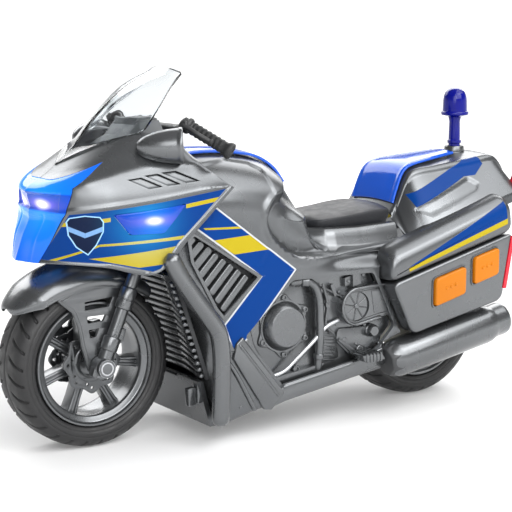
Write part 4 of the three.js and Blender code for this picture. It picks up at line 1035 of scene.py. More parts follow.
def build_seat():
    """Moulded foam pad: crowned top, crisp shoulder and deep sides that wrap over the base."""
    stations = [[-11.8, 98.2, 100.0, 5.0], [-13.4, 97.2, 100.7, 9.4], [-16.4, 95.6, 101.2, 14.6],
                [-19.4, 93.6, 101.6, 19.0], [-24, 92.8, 102.1, 20.4], [-38, 92.9, 103.4, 21.4],
                [-50, 93.4, 104.8, 22.0], [-57, 94.2, 105.2, 22.2], [-60.6, 95.4, 104.9, 21.4],
                [-62.2, 97.6, 103.8, 19.6]]
    rings = []
    for x, low, high, half in curve(stations, 110):
        shoulder = high - 3.4
        ring = []
        for s in np.linspace(-1, 1, 33):
            ring.append((x, half * 0.93 * s, high - (high - shoulder) * 0.62 * abs(s) ** 2.6))
        wall = [(half * w, shoulder + (high - shoulder if d > 0 else shoulder - low) * d)
                for w, d in SEAT_WALL]
        ring += [(x, y, z) for y, z in wall]
        ring += [(x, half * 0.8 * c, low) for c in (0.6, 0.2, -0.2, -0.6)]
        ring += [(x, -y, z) for y, z in wall[::-1]]
        rings.append(ring)
    return smoothed(loft("seat_cushion", rings), 1)


def build_seat_base():
    """Moulded skirt that rises from the side deck to the edge of the seat."""
    seat_x = [-12.4, -13.4, -16.4, -19.4, -24, -38, -50, -63]
    seat_half = [7, 10.4, 15.4, 19.6, 21.2, 22.2, 22.8, 23.0]
    section = curve([(0, 95.6), (0.18, 95.0), (0.36, 92.6), (0.46, 89.4), (0.6, 86.4), (0.82, 84.6),
                     (1.0, 83.6)], 28)
    rows = []
    for x in np.linspace(-12.6, -62, 70):
        inner = np.interp(-x, [-v for v in seat_x], seat_half)
        outer = np.interp(x, [-62, -22, -12.6], [32.0, 32.6, 33.0])
        rise = np.interp(x, [-62, -40, -16, -12.6], [1.0, 0.0, 0.3, 0.6])
        rows.append([(x, inner + (outer - inner) * s, z + rise * (z - 83.6) / 12)
                     for s, z in section])
    return sheet("seat_base", np.array(rows), 1.6, 0.0, -1.0)


# ------------------------------------------------------------------ engine sides
CLUTCH = (12, 52)
FAN = (-30, 57.6)


def scallops(centre, radius, lobe, count, phase):
    """Circle with a rounded lobe for each bolt."""
    outline = []
    for a in np.linspace(0, 2 * math.pi, 96, endpoint=False):
        wave = math.cos(count * (a - phase))
        outline.append(around(centre, radius + lobe * (0.5 + 0.5 * wave) ** 2, a))
    return outline


def socket_bolt(x, z, y, radius=1.5):
    """Cap bolt with a round socket."""
    profile = [(0, 0), (radius, 0), (radius, 1.3), (radius - 0.3, 1.6), (radius * 0.55, 1.6),
               (radius * 0.5, 0.9), (0, 0.9)]
    return lathe("bolt", profile, (x, y, z), (x, y + 1, z), 24)


def build_clutch():
    """Back plate with the round clutch cover and its six bolts."""
    plate = slab("plate", offset(ENGINE_OPENING, 1.0), 2, 30, 32.5)
    cx, cz = CLUTCH
    flange = prism("flange", scallops(CLUTCH, 13.0, 3.0, 6, math.radians(30)), 32, 34.2, 0.6, 3)
    cover = lathe("cover", [(0, 0), (12.1, 0), (12.1, 2.6), (11.9, 3.1), (9.7, 6.6), (9.3, 6.95), (0, 7.1)],
                  (cx, 32, cz), (cx, 40, cz), 96)
    bolts = [socket_bolt(*around(CLUTCH, 14.0, a), 34) for a in np.radians(np.arange(6) * 60 + 30)]
    seam = lathe("seam", [(12.1, 0), (12.9, 0), (12.9, 0.5), (12.1, 0.5)], (cx, 34.1, cz), (cx, 40, cz), 96)
    return merged("clutch_cover", plate, flange, cover, seam, *bolts)


def build_belt_cover():
    """Flat belt cover with a round eight-spoked fan window."""
    fx, fz = FAN
    arc = [around(FAN, 9.6, a) for a in np.radians(np.linspace(-82, 82, 25))]
    belt_line = arc + [(-40.6, fz + 10.2), (-50.4, fz + 10.6), (-50.4, fz - 6.2), (-44, fz - 6.9)]
    belt = prism("belt", belt_line, 32, 36.9, 0.5, 3)
    carved(belt, pin("hole", fx, fz, 35.6, 39, 7.4, 0.1, 64))
    groove = prism("groove", offset(belt_line, -2.0), 36.3, 38)
    carved(groove, prism("islet", offset(belt_line, -2.5), 35, 40))
    carved(belt, groove)
    rim_path = [(-49.0, 37.2, fz + 9.9), (-40.6, 37.2, fz + 9.5)]
    for x, z in [around(FAN, 8.9, a) for a in np.radians(np.arange(92, -100, -12))]:
        rim_path.append((x, 37.2, z))
    rim_path += [(-44, 37.2, fz - 6.6)]
    rim = sweep("rim", rim_path, 0.85, 14, 120)
    disc = pin("disc", fx, fz, 35.0, 36.0, 7.3, 0.2, 64)
    spokes = []
    for k in range(8):
        a = 2 * math.pi * k / 8 + 0.2
        out = np.array([math.cos(a), 0, math.sin(a)])
        centre = np.array([fx, 36.0, fz])
        spokes.append(sweep("spoke", [centre + out * reach for reach in (1.2, 4, 7)], 0.36, 8, 6))
    hub = pin("hub", fx, fz, 35.5, 37.0, 1.3, 0.4, 32)
    flat_panel = slab("panel", [(-38.5, fz + 7.2), (-49, fz + 7.6), (-49, fz - 4.0), (-40.5, fz - 4.6)], 1,
                      36.5, 37.2, 0.2)
    return merged("belt_cover", belt, rim, disc, hub, flat_panel, *spokes)


def build_hoses():
    """Coolant hose with two collars, and the thinner pipes beside it."""
    hose = sweep("hose", [(6, 33, 72.4), (0, 35.2, 72.8), (-4.6, 35.9, 70.4), (-7.4, 36, 64), (-8.2, 36, 54),
                          (-8.2, 36, 42), (-8, 35, 32), (-8, 34, 26)], 2.0, 20, 90)
    collars = [knob("collar", (2.2, 34.6, 72.7), (-1.6, 35.6, 72.5), 2.6, 0.4, 28),
               knob("collar", (-8.0, 35.5, 36.4), (-8.0, 35.3, 33.6), 2.6, 0.4, 28)]
    ring = sweep("arc", [(-10.8, 34.6, 70), (-13.4, 34.8, 60), (-12.6, 34.8, 50), (-17.4, 34.4, 45)], 0.7,
                 12, 50)
    arm = sweep("arm", [(-10.6, 34.4, 68.8), (-16, 34.4, 66.2), (-22.6, 34.4, 62.6)], 0.55, 10, 30)
    tick = prism("tick", [(-14.6, 60.4), (-12.0, 60.9), (-12.2, 58.9), (-14.2, 57.8)], 33, 35.6, 0.2)
    post = prism("post", [(-14.4, 66), (-12.6, 65.4), (-10.6, 47), (-12.8, 46.4)], 32, 34.2, 0.4)
    return merged("coolant_hose", hose, ring, arm, tick, post, *collars)


def build_bright_pipe():
    return sweep("bright", [(20.8, 34.4, 27.6), (13, 36.2, 30.2), (5, 36.6, 36.2), (-4.6, 36.2, 43.2),
                             (-12, 35.2, 48.6), (-20.3, 34.2, 51.4)], 0.95, 16, 90)


# x, z and radius of the small round details
ENGINE_DOTS = [(-33.2, 49.2, 0.8), (-38.8, 50.2, 0.7), (-45.6, 50.6, 1.4), (-36.6, 47.4, 0.9),
               (-31.6, 38.2, 0.8), (-42.8, 49.8, 0.6), (-24.6, 40.6, 1.6), (-45.8, 36.8, 0.9),
               (-19.2, 49.0, 0.5)]


def build_engine_details():
    """Cooling fins, sump, bracket, screws and bosses."""
    fins = []
    for k in range(8):
        z = 44.0 - k * 1.65
        start = -10.4 - 0.2 * k
        length = 9.4 - 0.35 * k
        fins.append(sweep("fin", [(start, 33.1, z), (start - length / 2, 33.3, z - 0.5),
                                  (start - length, 33.1, z - 1.1)], 0.42, 8, 14))
    fin_back = prism("fin_back", [(-9.8, 46), (-20.5, 44), (-21.8, 32.4), (-10.4, 30)], 31.5, 33.0, 0.3)
    sump = slab("sump", [(-20.4, 47), (-45, 46.4), (-47.4, 38.4), (-38, 33.6), (-29, 31.6), (-19.4, 41)],
                2, 32, 34.0, 0.5)
    knob_piece = lathe("knob", [(0, 0), (3.4, 0), (3.4, 1.4), (3.0, 1.8), (2.9, 3.6), (2.3, 4.4), (0, 4.5)],
                       (-40.4, 33.4, 44.2), (-40.4, 40, 44.2), 48)
    dots = [pin("dot", x, z, 33.4, 34.7, radius, 0.25, 24) for x, z, radius in ENGINE_DOTS]
    bracket = slab("bracket", [(-27.6, 76.0), (-32.6, 77.4), (-32.9, 68.6), (-27.9, 67.4)], 0.4, 32, 36.2,
                   0.3)
    ears = [slab("ear", [(-23.8, 72.2), (-27.8, 73.2), (-28, 68.6), (-24, 67.6)], 0.4, 32, 34.8, 0.25),
            slab("ear", [(-32.6, 74.4), (-36.6, 75.6), (-36.8, 71.2), (-32.8, 70)], 0.4, 32, 34.8, 0.25)]
    screws = [pin("screw", x, z, 34.6, 35.5, 0.85, 0.2, 20) for x, z in [(-25.9, 70.4), (-34.7, 72.8)]]
    small_bar = slab("small_bar", [(-14.9, 69.4), (-16.6, 70.2), (-19.4, 64.0), (-17.6, 63.2)], 0.5, 32,
                     35.2, 0.3)
    notch = pin("notch", -21.2, 65.2, 32, 34.2, 0.8, 0.2, 20)
    return merged("engine_details", *fins, fin_back, sump, knob_piece, *dots, bracket, *ears, *screws,
                  small_bar, notch)


def build_foot_peg():
    """Ribbed foot peg on its pivot, with the pedal lever."""
    peg_parts = [slab("peg", [(-26.6, 34.8), (-38.4, 34.8), (-40.6, 31.6), (-28.4, 31.2)], 0.8, 34, 46.4,
                      0.5)]
    for k in range(5):
        x = -28.8 - 2.1 * k
        peg_parts.append(prism("rib", [(x, 35.6), (x - 1.1, 35.6), (x - 1.4, 31), (x - 0.3, 31)], 35, 46.8,
                               0.25))
    peg_parts.append(pin("pivot", -33, 35.4, 32, 36, 2.2, 0.3, 24))
    peg_parts.append(slab("lever", [(-19.6, 41.4), (-21.2, 42.4), (-30.2, 35.4), (-28.6, 33.6)], 0.6, 34,
                          35.6, 0.3))
    return merged("foot_peg", *peg_parts)


def build_crankcase():
    lower = prism("lower", [(18, 27.4), (-12, 31.4), (-9.4, 27.6), (15.4, 23.8)], 32, 35.4, 0.6)
    case = slab("case", [(22.4, 64.8), (5, 72.6), (-4.6, 70.4), (-6.0, 40), (4, 30.8), (17, 26.6),
                         (28, 44), (30.4, 54)], 3, 31.5, 32.9, 0.5)
    hub_bolt = socket_bolt(4.2, 29.8, 33, 1.9)
    return merged("crankcase", lower, case, hub_bolt)


BAR_PATH = [(77, 41.6, 90), (73.6, 42.2, 83.4), (66.4, 42.6, 73), (59.2, 42.9, 63.4), (54.2, 43, 55.8),
            (52.3, 43, 47), (52.2, 43, 30), (52.7, 43, 14.2)]


def build_crash_bar():
    return sweep("crash_bar", BAR_PATH, 4.25, 32, 120)


GRILLE_TOP = 79
GRILLE_BOTTOM = 31.4


def valley(z, depth, inset=0.0):
    """Plan outline of a fin at height z: both ends stand forward of the middle."""
    rise = (z - 33) / 45
    outer = 59.5 + 15.5 * rise + inset
    inner = 55 + 11 * max(rise, 0) ** 1.5 + inset
    side = 35.4
    return [(outer, side), (inner, 12), (inner, -12), (outer, -side), (outer - depth, -side),
            (inner - depth, -12), (inner - depth, 12), (outer - depth, side)]


def build_radiator():
    """Fifteen fins and the dark plate behind them, both cut back around the front wheel."""
    heights = np.linspace(GRILLE_BOTTOM, GRILLE_TOP, 13)
    back = loft("back", [[(x, y, z) for x, y in valley(z, 2, -3)] for z in heights])
    slats = []
    for i in range(15):
        z = GRILLE_BOTTOM + 1 + (GRILLE_TOP - GRILLE_BOTTOM - 3.2) * i / 14
        rings = [[(x, y, z + dz) for x, y in rounded(valley(z, 4), 1.6, 4)] for dz in (0, 1.9)]
        slats.append(bevelled(loft("slat", rings), 0.6, 3, 40))
    fins = merged("radiator_fins", *slats)
    for piece in (fins, back):
        carved(piece, wheel_space(FRONT, 16, 1.6))
    return fins, back


def build_front_panel():
    """Plain panel that closes the gap between the fin tips and the crash bar."""
    bar_x, _, bar_z = zip(*BAR_PATH[::-1])
    rows = []
    for z in np.linspace(15, 82, 40):
        outer = np.array([np.interp(z, bar_z, bar_x) - 0.6, 42.6])
        inner = np.array([min(valley(z, 2, -3.4)[0][0], outer[0] + 6), 28.0])
        rows.append([(*(inner + (outer - inner) * s), z) for s in np.linspace(0, 1, 12)])
    return sheet("front_panel", np.array(rows), 1.2)


def build_bar_bracket():
    """Small stepped bracket on the dark panel behind the crash bar."""
    plates = [slab("plate", [(64.5, 27.6), (60.4, 27.9), (60.2, 19.6), (64.2, 19.0)], 0.5, 30, 33.5, 0.4),
              slab("plate", [(60.2, 29.8), (57.4, 30.0), (57.2, 20.6), (60.0, 20.2)], 0.5, 30, 34.6, 0.4)]
    return merged("bar_bracket", *plates)


# ------------------------------------------------------------------ wheels
SLASHES = 30


def build_tyre(centre_x, name):
    """Tyre with slanted slash grooves, two rings on each wall and a line round the middle."""
    half = [(29.8, 10.6), (30.0, 11.6), (31.4, 12.7), (33.6, 13.3), (36.0, 12.7), (37.9, 11.3), (39.2, 9.2),
            (39.85, 6.2), (40.0, 3.2), (40.0, 0.0)]
    line = curve(half + [(r, -y) for r, y in half[-2::-1]], 96)
    line[:, 0] = np.minimum(line[:, 0], TYRE_RADIUS)
    line[:, 1] = np.clip(line[:, 1], -TYRE_HALF_WIDTH, TYRE_HALF_WIDTH)
    turns = np.linspace(0, 2 * math.pi, 900, endpoint=False)
    radius, y = line[:, 0], line[:, 1]
    drop = np.zeros((len(turns), len(line)))
    for side, stagger in ((1, 0.0), (-1, 0.5)):
        across = y * side
        lean = turns[:, None] + (across[None] - 8.0) * 0.016 - stagger * 2 * math.pi / SLASHES
        phase = (lean * SLASHES / (2 * math.pi)) % 1.0
        along = np.abs(phase - 0.5) * 2 * math.pi / SLASHES * TYRE_RADIUS
        width = ramp(0.95 - along, 0.0, 0.5)
        reach = ramp(across, 3.6, 4.6) * (1 - ramp(across, 12.0, 12.6)) * (radius > 35.6)
        drop = np.maximum(drop, width * reach[None])
    ring = bead(radius - 34.6, 0.35) * 0.3
    ring += bead(radius - 31.6, 0.3) * 0.25
    middle = 0.45 * bead(y, 0.55)
    drop = 0.95 * drop + (ring + middle)[None]
    slope = np.gradient(line, axis=0)
    normal = np.stack([-slope[:, 1], slope[:, 0]], -1)
    normal /= np.linalg.norm(normal, axis=1)[:, None]
    normal *= np.sign(normal[len(line) // 2, 0])
    r = radius[None] - normal[None, :, 0] * drop
    w = y[None] - normal[None, :, 1] * drop
    x = centre_x + r * np.cos(turns)[:, None]
    z = TYRE_RADIUS + r * np.sin(turns)[:, None]
    points = np.stack([x, w, z], -1)
    rows, columns = points.shape[:2]
    index = np.arange(rows * columns).reshape(rows, columns)
    nxt = np.roll(index, -1, axis=0)
    a, b, c, d = index[:, :-1], nxt[:, :-1], nxt[:, 1:], index[:, 1:]
    faces = np.stack([a, b, c, d], -1).reshape(-1, 4).tolist()
    faces += np.stack([index[:, -1], nxt[:, -1], nxt[:, 0], index[:, 0]], -1).tolist()
    return new_object(name, points.reshape(-1, 3), faces)


def build_rim(centre_x, name, bore):
    """Seven grooved spokes between a stepped hub and the rim."""
    axis = (centre_x, 0, TYRE_RADIUS), (centre_x, 10, TYRE_RADIUS)
    half = [(29.4, 8.6), (29.4, 11.9), (29.1, 12.3), (28.3, 12.3), (27.9, 11.9), (27.6, 10.9), (27.0, 10.5),
            (25.4, 10.3), (24.9, 9.8), (24.7, 8.4), (24.9, 6.0), (25.2, 0.2)]
    profile = [(29.4, 0), *half, *[(r, -y) for r, y in half[::-1]], (29.4, 0)]
    parts = [ring_lathe("barrel", profile, axis[0], axis[1], 128)]
    for direction in (1, -1):
        hub = [(bore, 0), (9.6, 0), (9.6, 4.6), (9.2, 5.2), (7.4, 5.8), (6.9, 6.4), (5.2, 6.6), (bore, 6.6)]
        parts.append(ring_lathe("hub", hub, axis[0], (centre_x, direction * 10, TYRE_RADIUS), 64))
    section = [(-2.5, 4.0), (-1.9, 4.5), (-1.1, 4.5), (-0.7, 3.4), (0.7, 3.4), (1.1, 4.5), (1.9, 4.5),
               (2.5, 4.0)]
    for k in range(7):
        turn = k * 2 * math.pi / 7 - 0.32
        out = np.array([math.cos(turn), 0, math.sin(turn)])
        tangent = np.array([-math.sin(turn), 0, math.cos(turn)])
        rings = []
        for r, wide, deep in ((8.6, 1.12, 0.96), (12, 0.92, 0.94), (18, 0.86, 0.96), (23.5, 0.94, 1.0),
                              (26.2, 1.15, 1.05)):
            outline = section + [(t, -y) for t, y in section[::-1]]
            rings.append([np.array(axis[0]) + out * r + tangent * t * wide + np.array([0, y * deep, 0])
                          for t, y in outline])
        parts.append(bevelled(loft("spoke", rings), 0.25, 2, 35))
    valve = knob("valve", (centre_x + 22.4, 0, TYRE_RADIUS - 14.6),
                 (centre_x + 20.6, 0, TYRE_RADIUS - 13.4), 0.9)
    return merged(name, *parts, valve)


def ring_lathe(name, profile, start, end, segments):
    """Turned ring whose profile is a closed loop."""
    side, up, along = frame_along(np.subtract(end, start))
    count = len(profile)
    points, faces = [], []
    for k in range(segments):
        turn = 2 * math.pi * k / segments
        out = side * math.cos(turn) + up * math.sin(turn)
        points += [np.asarray(start) + out * r + along * d for r, d in profile]
        a, b = k * count, (k + 1) % segments * count
        faces += [[a + i, a + (i + 1) % count, b + (i + 1) % count, b + i] for i in range(count)]
    return new_object(name, points, faces)


def build_disc():
    """Petal-edged brake disc with three rings of holes, on its carrier."""
    x, z = middle = FRONT[0], TYRE_RADIUS
    outline = [around(middle, 13.7 + 0.85 * math.cos(8 * a) + 0.12 * math.cos(16 * a), a)
               for a in np.linspace(0, 2 * math.pi, 160, endpoint=False)]
    disc = prism("disc", outline, 7.2, 8.3)
    cutters = [pin("bore", x, z, 5, 10, 6.4, 0.1, 64)]
    for k in range(8):
        for radius, shift, size in ((11.9, 0.0, 0.75), (10.3, 0.24, 0.65), (13.0, 0.39, 0.5)):
            hole_x, hole_z = around(middle, radius, 2 * math.pi * k / 8 + shift)
            cutters.append(pin("hole", hole_x, hole_z, 5, 10, size, 0.05, 16))
    carved(disc, merged("cutters", *cutters))
    bevelled(disc, 0.18, 2, 50)
    carrier = ring_lathe("carrier", [(6.3, 6.9), (9.2, 6.9), (9.2, 8.6), (8.8, 8.9), (7.2, 8.9), (6.6, 8.5),
                                     (6.3, 8.5)], (x, 0, z), (x, 10, z), 64)
    places = [around(middle, 8.2, a) for a in np.radians(np.arange(0, 360, 60))]
    rivets = [pin("rivet", px, pz, 8.6, 9.3, 0.6, 0.2, 16) for px, pz in places]
    return merged("petal_disc", disc, carrier, *rivets)


def build_axle_cap():
    reach = float(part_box("front_axle")[1][1]) / MM
    x, z = FRONT[0], TYRE_RADIUS
    profile = [(0, -1.4), (4.2, -1.4), (4.2, -0.35), (3.9, 0.0), (3.3, 0.05), (3.1, -0.25), (2.6, -0.25),
               (2.4, 0.0), (1.2, 0.1), (0, 0.12)]
    return lathe("axle_cap", profile, (x, reach, z), (x, reach + 10, z), 64)


FORK_LEAN = -17 / 41
FORK_Y = 19.0


def fork_at(z):
    """Point on the left leg's axis at height z."""
    return np.array([FRONT[0] + FORK_LEAN * (z - FRONT[2]), FORK_Y, z])


def build_fork():
    """Telescopic leg with its collars, axle lug, clamp and caliper."""
    start, end = fork_at(34.5), fork_at(112)
    length = float(np.linalg.norm(end - start))
    r = 3.5
    wide, collar = r + 0.45, r + 0.55
    profile = [(0, 0), (2.6, 0.1), (r, 0.9), (r, 13.9), (wide, 14.3), (collar, 14.9), (collar, 19.9),
               (r + 0.35, 20.4), (r - 0.5, 20.7), (r - 0.5, 33.9), (r + 0.3, 34.3), (wide, 34.9),
               (wide, 38.3), (r + 0.1, 38.5), (r + 0.1, 38.9), (wide, 39.1), (wide, 43.9),
               (r + 0.1, 44.5), (r - 0.4, 44.7), (r - 0.4, length), (0, length)]
    leg = lathe("leg", profile, start, end, 64)
    x, z = FRONT[0], FRONT[2]
    lug = lathe("lug", [(2.3, 0), (4.4, 0), (4.75, 0.4), (4.75, 6.1), (4.5, 6.4), (2.3, 6.4)],
                (x, FORK_Y - 3.2, z), (x, FORK_Y, z), 48)
    clamp = slab("clamp", [(x - 1.6, z + 1), (x + 4.8, z + 1.2), (x + 6.4, z - 3.4), (x + 2, z - 5.6),
                           (x - 1.5, z - 4.6)], 1.2, FORK_Y - 2.2, FORK_Y + 2.4, 0.5)
    bolt = socket_bolt(x - 5.2, z + 14.2, FORK_Y + 1.6, 1.1)
    caliper = slab("caliper", [(x - 6.4, z + 7.4), (x - 12.6, z + 9.6), (x - 14.6, z + 16.0),
                               (x - 9.4, z + 15.2)], 1.2, 10.6, 15.6, 0.6)
    return merged("fork_leg", leg, lug, clamp, bolt, caliper)


def pierced(name, outline, holes, y0, y1):
    """Flat plate with windows, built from one triangulated face and its walls."""
    loops = [list(outline)] + [list(hole) for hole in holes]
    flat = [[Vector((x, z, 0)) for x, z in loop] for loop in loops]
    corners = [point for loop in loops for point in loop]
    count = len(corners)
    points = [(x, y0, z) for x, z in corners] + [(x, y1, z) for x, z in corners]
    faces = []
    for triangle in tessellate_polygon(flat):
        faces += [list(triangle), [i + count for i in reversed(triangle)]]
    first = 0
    for loop in loops:
        size = len(loop)
        faces += [[first + i, first + (i + 1) % size, first + (i + 1) % size + count, first + i + count]
                  for i in range(size)]
        first += size
    return new_object(name, points, faces)


def build_fender():
    """Mudguard with a long nose and a slotted stay down to the axle on each side."""
    inner = TYRE_RADIUS + 2.4
    start, end = 0.63, 2.35
    grid = []
    for u in np.linspace(0, 1, 110):
        turn = start + (end - start) * u
        crown = inner + np.interp(u, [0, 0.14, 0.35, 0.55, 1], [4.6, 5.6, 5.2, 4.0, 2.0])
        nose = min(1.0, 0.3 + 0.7 * math.sqrt(min(1.0, u * 7)), 0.6 + (1 - u) * 9)
        drop = np.interp(u, [0, 0.12, 0.35, 0.7, 1], [1.5, 8.0, 11.0, 9.0, 5.0])
        row = []
        for v in np.linspace(-1, 1, 61):
            bend = abs(v) * math.pi / 2
            radius = crown - drop * (1 - math.cos(bend)) ** 1.15
            row.append((FRONT[0] + radius * math.cos(turn),
                        math.copysign(15.5 * nose * math.sin(bend) ** 0.9, v),
                        FRONT[2] + radius * math.sin(turn)))
        grid.append(row)
    grid = np.array(grid)
    v = np.linspace(-1, 1, 61)
    rim = 0.35 * bead(np.abs(v) - 0.94, 0.05)
    arch = bevelled(sheet("arch", grid, 1.4, rim[None, :], 1.0), 0.4, 2, 50)
    outline = rounded([(107, 80.0), (122, 72.5), (119.2, 69.8), (114.4, 65.9), (111.6, 58.6), (110.0, 49.8),
                       (106.6, 37.6), (102, 34.8), (97.6, 36.8), (92, 58), (87, 72), (84, 78), (90, 81)], 1.2)
    windows = [[(108.2, 70.3), (93.8, 71.6), (96.0, 67.1), (108.2, 66.4)],
               [(107.5, 63.4), (97.4, 63.6), (99.0, 60.5), (106.8, 60.2)],
               [(106.4, 57.2), (101.0, 57.6), (102.6, 53.8), (105.6, 53.2)]]
    bore = [around(FRONT[::2], 2.4, a) for a in np.linspace(0, 2 * math.pi, 32, endpoint=False)]
    holes = [rounded(w, 0.6) for w in windows] + [bore]
    plates = []
    for side in (1, -1):
        plate = pierced("plate", outline, holes, 14.0 * side, 15.6 * side)
        plates.append(bevelled(plate, 0.3, 2, 40))
        frame = pierced("frame", rounded(offset(outline, -0.4), 1.4), [rounded(offset(outline, -1.5), 1.0)],
                        15.5 * side, 16.0 * side)
        plates.append(bevelled(frame, 0.2, 2, 40))
    return merged("front_mudguard", arch, *plates)


# ------------------------------------------------------------------ tail
# x, height and half width of the top edge, height and half width of the lower edge
TAIL_STATIONS = [
    [-64, 101, 19.5, 86, 31],
    [-68, 108, 20, 87, 33.5],
    [-72, 117, 20.5, 88, 35.5],
    [-76, 122, 21, 89.5, 37],
    [-92, 124.5, 22, 94, 38.5],
    [-113, 126.8, 22.5, 99.5, 39],
    [-129, 128.2, 22.5, 103, 38],
    [-135, 124, 22, 104, 36.5],
    [-141.5, 113.5, 20, 105.5, 31],
]
TAIL_END = -141.4
TAIL_LIGHT = [(-134, 111.5), (-138.6, 107.4), (-138.8, 113), (-136, 116.5)]


def tail_look():
    """Silver with a blue stripe on each flank."""
    look = silver("tail_silver")
    stripe = look.any_of(
        look.inside([(-73.0, 103.1), (-71.0, 109.3), (-114.0, 127.0), (-114.0, 120.6)]),
        look.inside([(-104.0, 116.9), (-108.0, 124.6), (-117.9, 129.1), (-120.9, 122.8), (-112.9, 117.5)]))
    flank = look.span(look.math("ABSOLUTE", look.along((0, 1, 0))), 19.5, 20.0)
    look.printed((look.both(stripe, flank), BLUE))
    return look


def build_tail():
    """Tail housing with a recessed flank panel, a rib at the front and the beacon's collar."""
    smooth = curve(TAIL_STATIONS, 140)
    smooth[:, 0] = np.maximum(smooth[:, 0], TAIL_END)
    rings = []
    for x, top, top_y, low, low_y in smooth:
        half = []
        for s in np.linspace(0, 1, 14)[:-1]:
            half.append(((top_y - 3.2) * s, top - 0.2 - 1.1 * s * s))
        for a in np.linspace(0, 1, 9)[:-1]:
            turn = a * math.pi / 2
            half.append((top_y - 3.2 + 3.2 * math.sin(turn), top - 4.4 + 3.1 * math.cos(turn)))
        for s in np.linspace(0, 1, 26)[:-1]:
            bulge = 1.4 * math.sin(math.pi * s)
            half.append((top_y + (low_y - 0.8 - top_y) * s + bulge * 0.3,
                         top - 4.4 + (low + 4.5 - top + 4.4) * s))
        for s in np.linspace(0, 1, 6):
            half.append((low_y - 0.8 + 0.8 * s, low + 4.5 - 4.5 * s))
        rings.append([(x, y, z) for y, z in half])
    left = np.array(rings)
    grid = np.concatenate([(left * [1, -1, 1])[:, :0:-1], left], axis=1)
    side_view = grid[..., [0, 2]]
    panel = [(-71, 101.4), (-74, 104.2), (-108, 117.0), (-113, 113.4), (-110, 110.0), (-79, 98.8)]
    lift = -0.9 * ramp(depth_inside(side_view, panel), 0.0, 1.2)
    flank = np.abs(grid[..., 1]) > 19
    rib = path_distance(side_view, [(-66.0, 117.8), (-64.6, 103), (-62.2, 86)])
    lift = np.where(flank, lift + 0.9 * bead(rib, 1.0), 0.0)
    groove = path_distance(side_view, [(-68.6, 115.6), (-64.2, 88)])
    lift = lift - 0.5 * np.where(flank, bead(groove, 0.7), 0.0)
    shell = sheet("tail", grid, 2.0, lift, -1.0)
    bevelled(shell, 0.5, 3, 50)
    x = centre_of("beacon")[0]
    collar = ring_lathe("collar", [(3.6, 0), (6.4, 0), (6.2, 0.9), (5.4, 1.3), (5.2, 3.6), (4.9, 4.0),
                                   (3.6, 4.0)], (x, 0, 126.6), (x, 0, 140), 64)
    return merged("tail_housing", shell, collar)


def build_tail_cover():
    """Blue cover that narrows from the seat to the beacon, with a bead along each edge."""
    line = curve([[-66.2, 105.6, 17.8], [-69.0, 113, 17.6], [-72.2, 119.8, 17.3], [-75.0, 122.7, 17.0],
                  [-79, 124.3, 16.5], [-87, 125.6, 15.2], [-98, 126.9, 13], [-112.5, 128.4, 9.4]], 110)
    across = np.linspace(-1, 1, 51)
    grid = np.array([[(x - 0.2, s * w, z - s * s * 1.1) for s in across] for x, z, w in line])
    rim = 0.4 * bead(np.abs(across) - 0.92, 0.05)
    cover = sheet("cover", grid, 1.0, 0.75 + rim[None, :], -1.0)
    x = centre_of("beacon")[0]
    carved(cover, knob("hole", (x, 0, 120), (x, 0, 140), 6.6, 0.1, 48))
    return bevelled(cover, 0.3, 2, 50)


def build_beacon():
    low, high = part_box("beacon")
    x = centre_of("beacon")[0]
    base = float(low[2]) / MM
    height = float(high[2] - low[2]) / MM
    profile = [(0, 0), (3.1, 0), (3.1, 4.4), (3.7, 4.8), (3.7, 6.2), (3.1, 6.6), (2.9, 16.4), (3.4, 18.6),
               (5.6, 19.5), (7.0, 19.7), (7.3, 20.1), (7.3, 21.1), (7.0, 21.5), (6.5, 21.7), (6.45, 24),
               (6.35, 27.5), (6.0, 29.8), (5.2, 31.8), (3.8, 33.2), (2.0, height - 0.15), (0, height)]
    return lathe("beacon_light", profile, (x, 0, base), (x, 0, base + 10), 80)


# ------------------------------------------------------------------ panniers
BOX_OUTLINE = [(-44.6, 68.5), (-57.5, 42), (-116, 54), (-123, 88.9)]
LID_OUTLINE = [(-43.5, 69.2), (-123, 89.6), (-120.5, 104.6), (-44.5, 80.5)]
REFLECTOR_OUTLINE = [(-115.8, 60), (-120.8, 87), (-123, 87), (-118, 60)]
PANNIER_IN = 29.5
PANNIER_OUT = 47.0
BUTTON_SLOPE = -20.3 / 79.5
# middle (x, z), half length and half height of each button
BUTTONS = {"front": (-79.8, 64.6, 9.8, 6.9), "rear": (-103.4, 73.0, 8.1, 6.8)}


def button_outline(button, grow):
    """Slanted outline of a button, grown on every side."""
    x, z, half_x, half_z = button
    half_x, half_z = half_x + grow, half_z + grow
    return [(x + i * half_x, z + i * half_x * BUTTON_SLOPE + k * half_z)
            for i, k in ((1, 1), (-1, 1), (-1, -1), (1, -1))]


def lid_look():
    """Silver with a blue wedge over a yellow line."""
    look = silver("lid_silver")
    blue = look.inside([(-54.2, 76.4), (-54.2, 74.4), (-118.4, 93.8), (-117.2, 105.2)])
    yellow = look.inside([(-54.1, 76.1), (-54.7, 74.1), (-118.5, 93.5), (-118.4, 96.4)])
    look.printed((blue, BLUE), (yellow, YELLOW))
    return look


def build_lid():
    """Domed lid: the upper edge climbs inward, the other edges roll under."""
    base = rounded(LID_OUTLINE, 6.0, 8)
    rings = []
    for y, grow, rise in ((34.0, 0.6, 4.4), (38.0, 0.6, 4.2), (41.0, 0.5, 3.5), (43.4, 0.3, 2.4),
                          (45.2, -0.2, 1.2), (46.2, -0.8, 0.4), (46.8, -1.7, -0.4),
                          (PANNIER_OUT, -3.0, -1.2)):
        ring = []
        for x, z in offset(base, grow):
            middle = 69.2 + (-43.5 - x) * 0.257 + 6
            ring.append((x, y, z + rise * ramp(z - middle, -1.0, 5.0)))
        rings.append(ring)
    return loft("lid", rings)


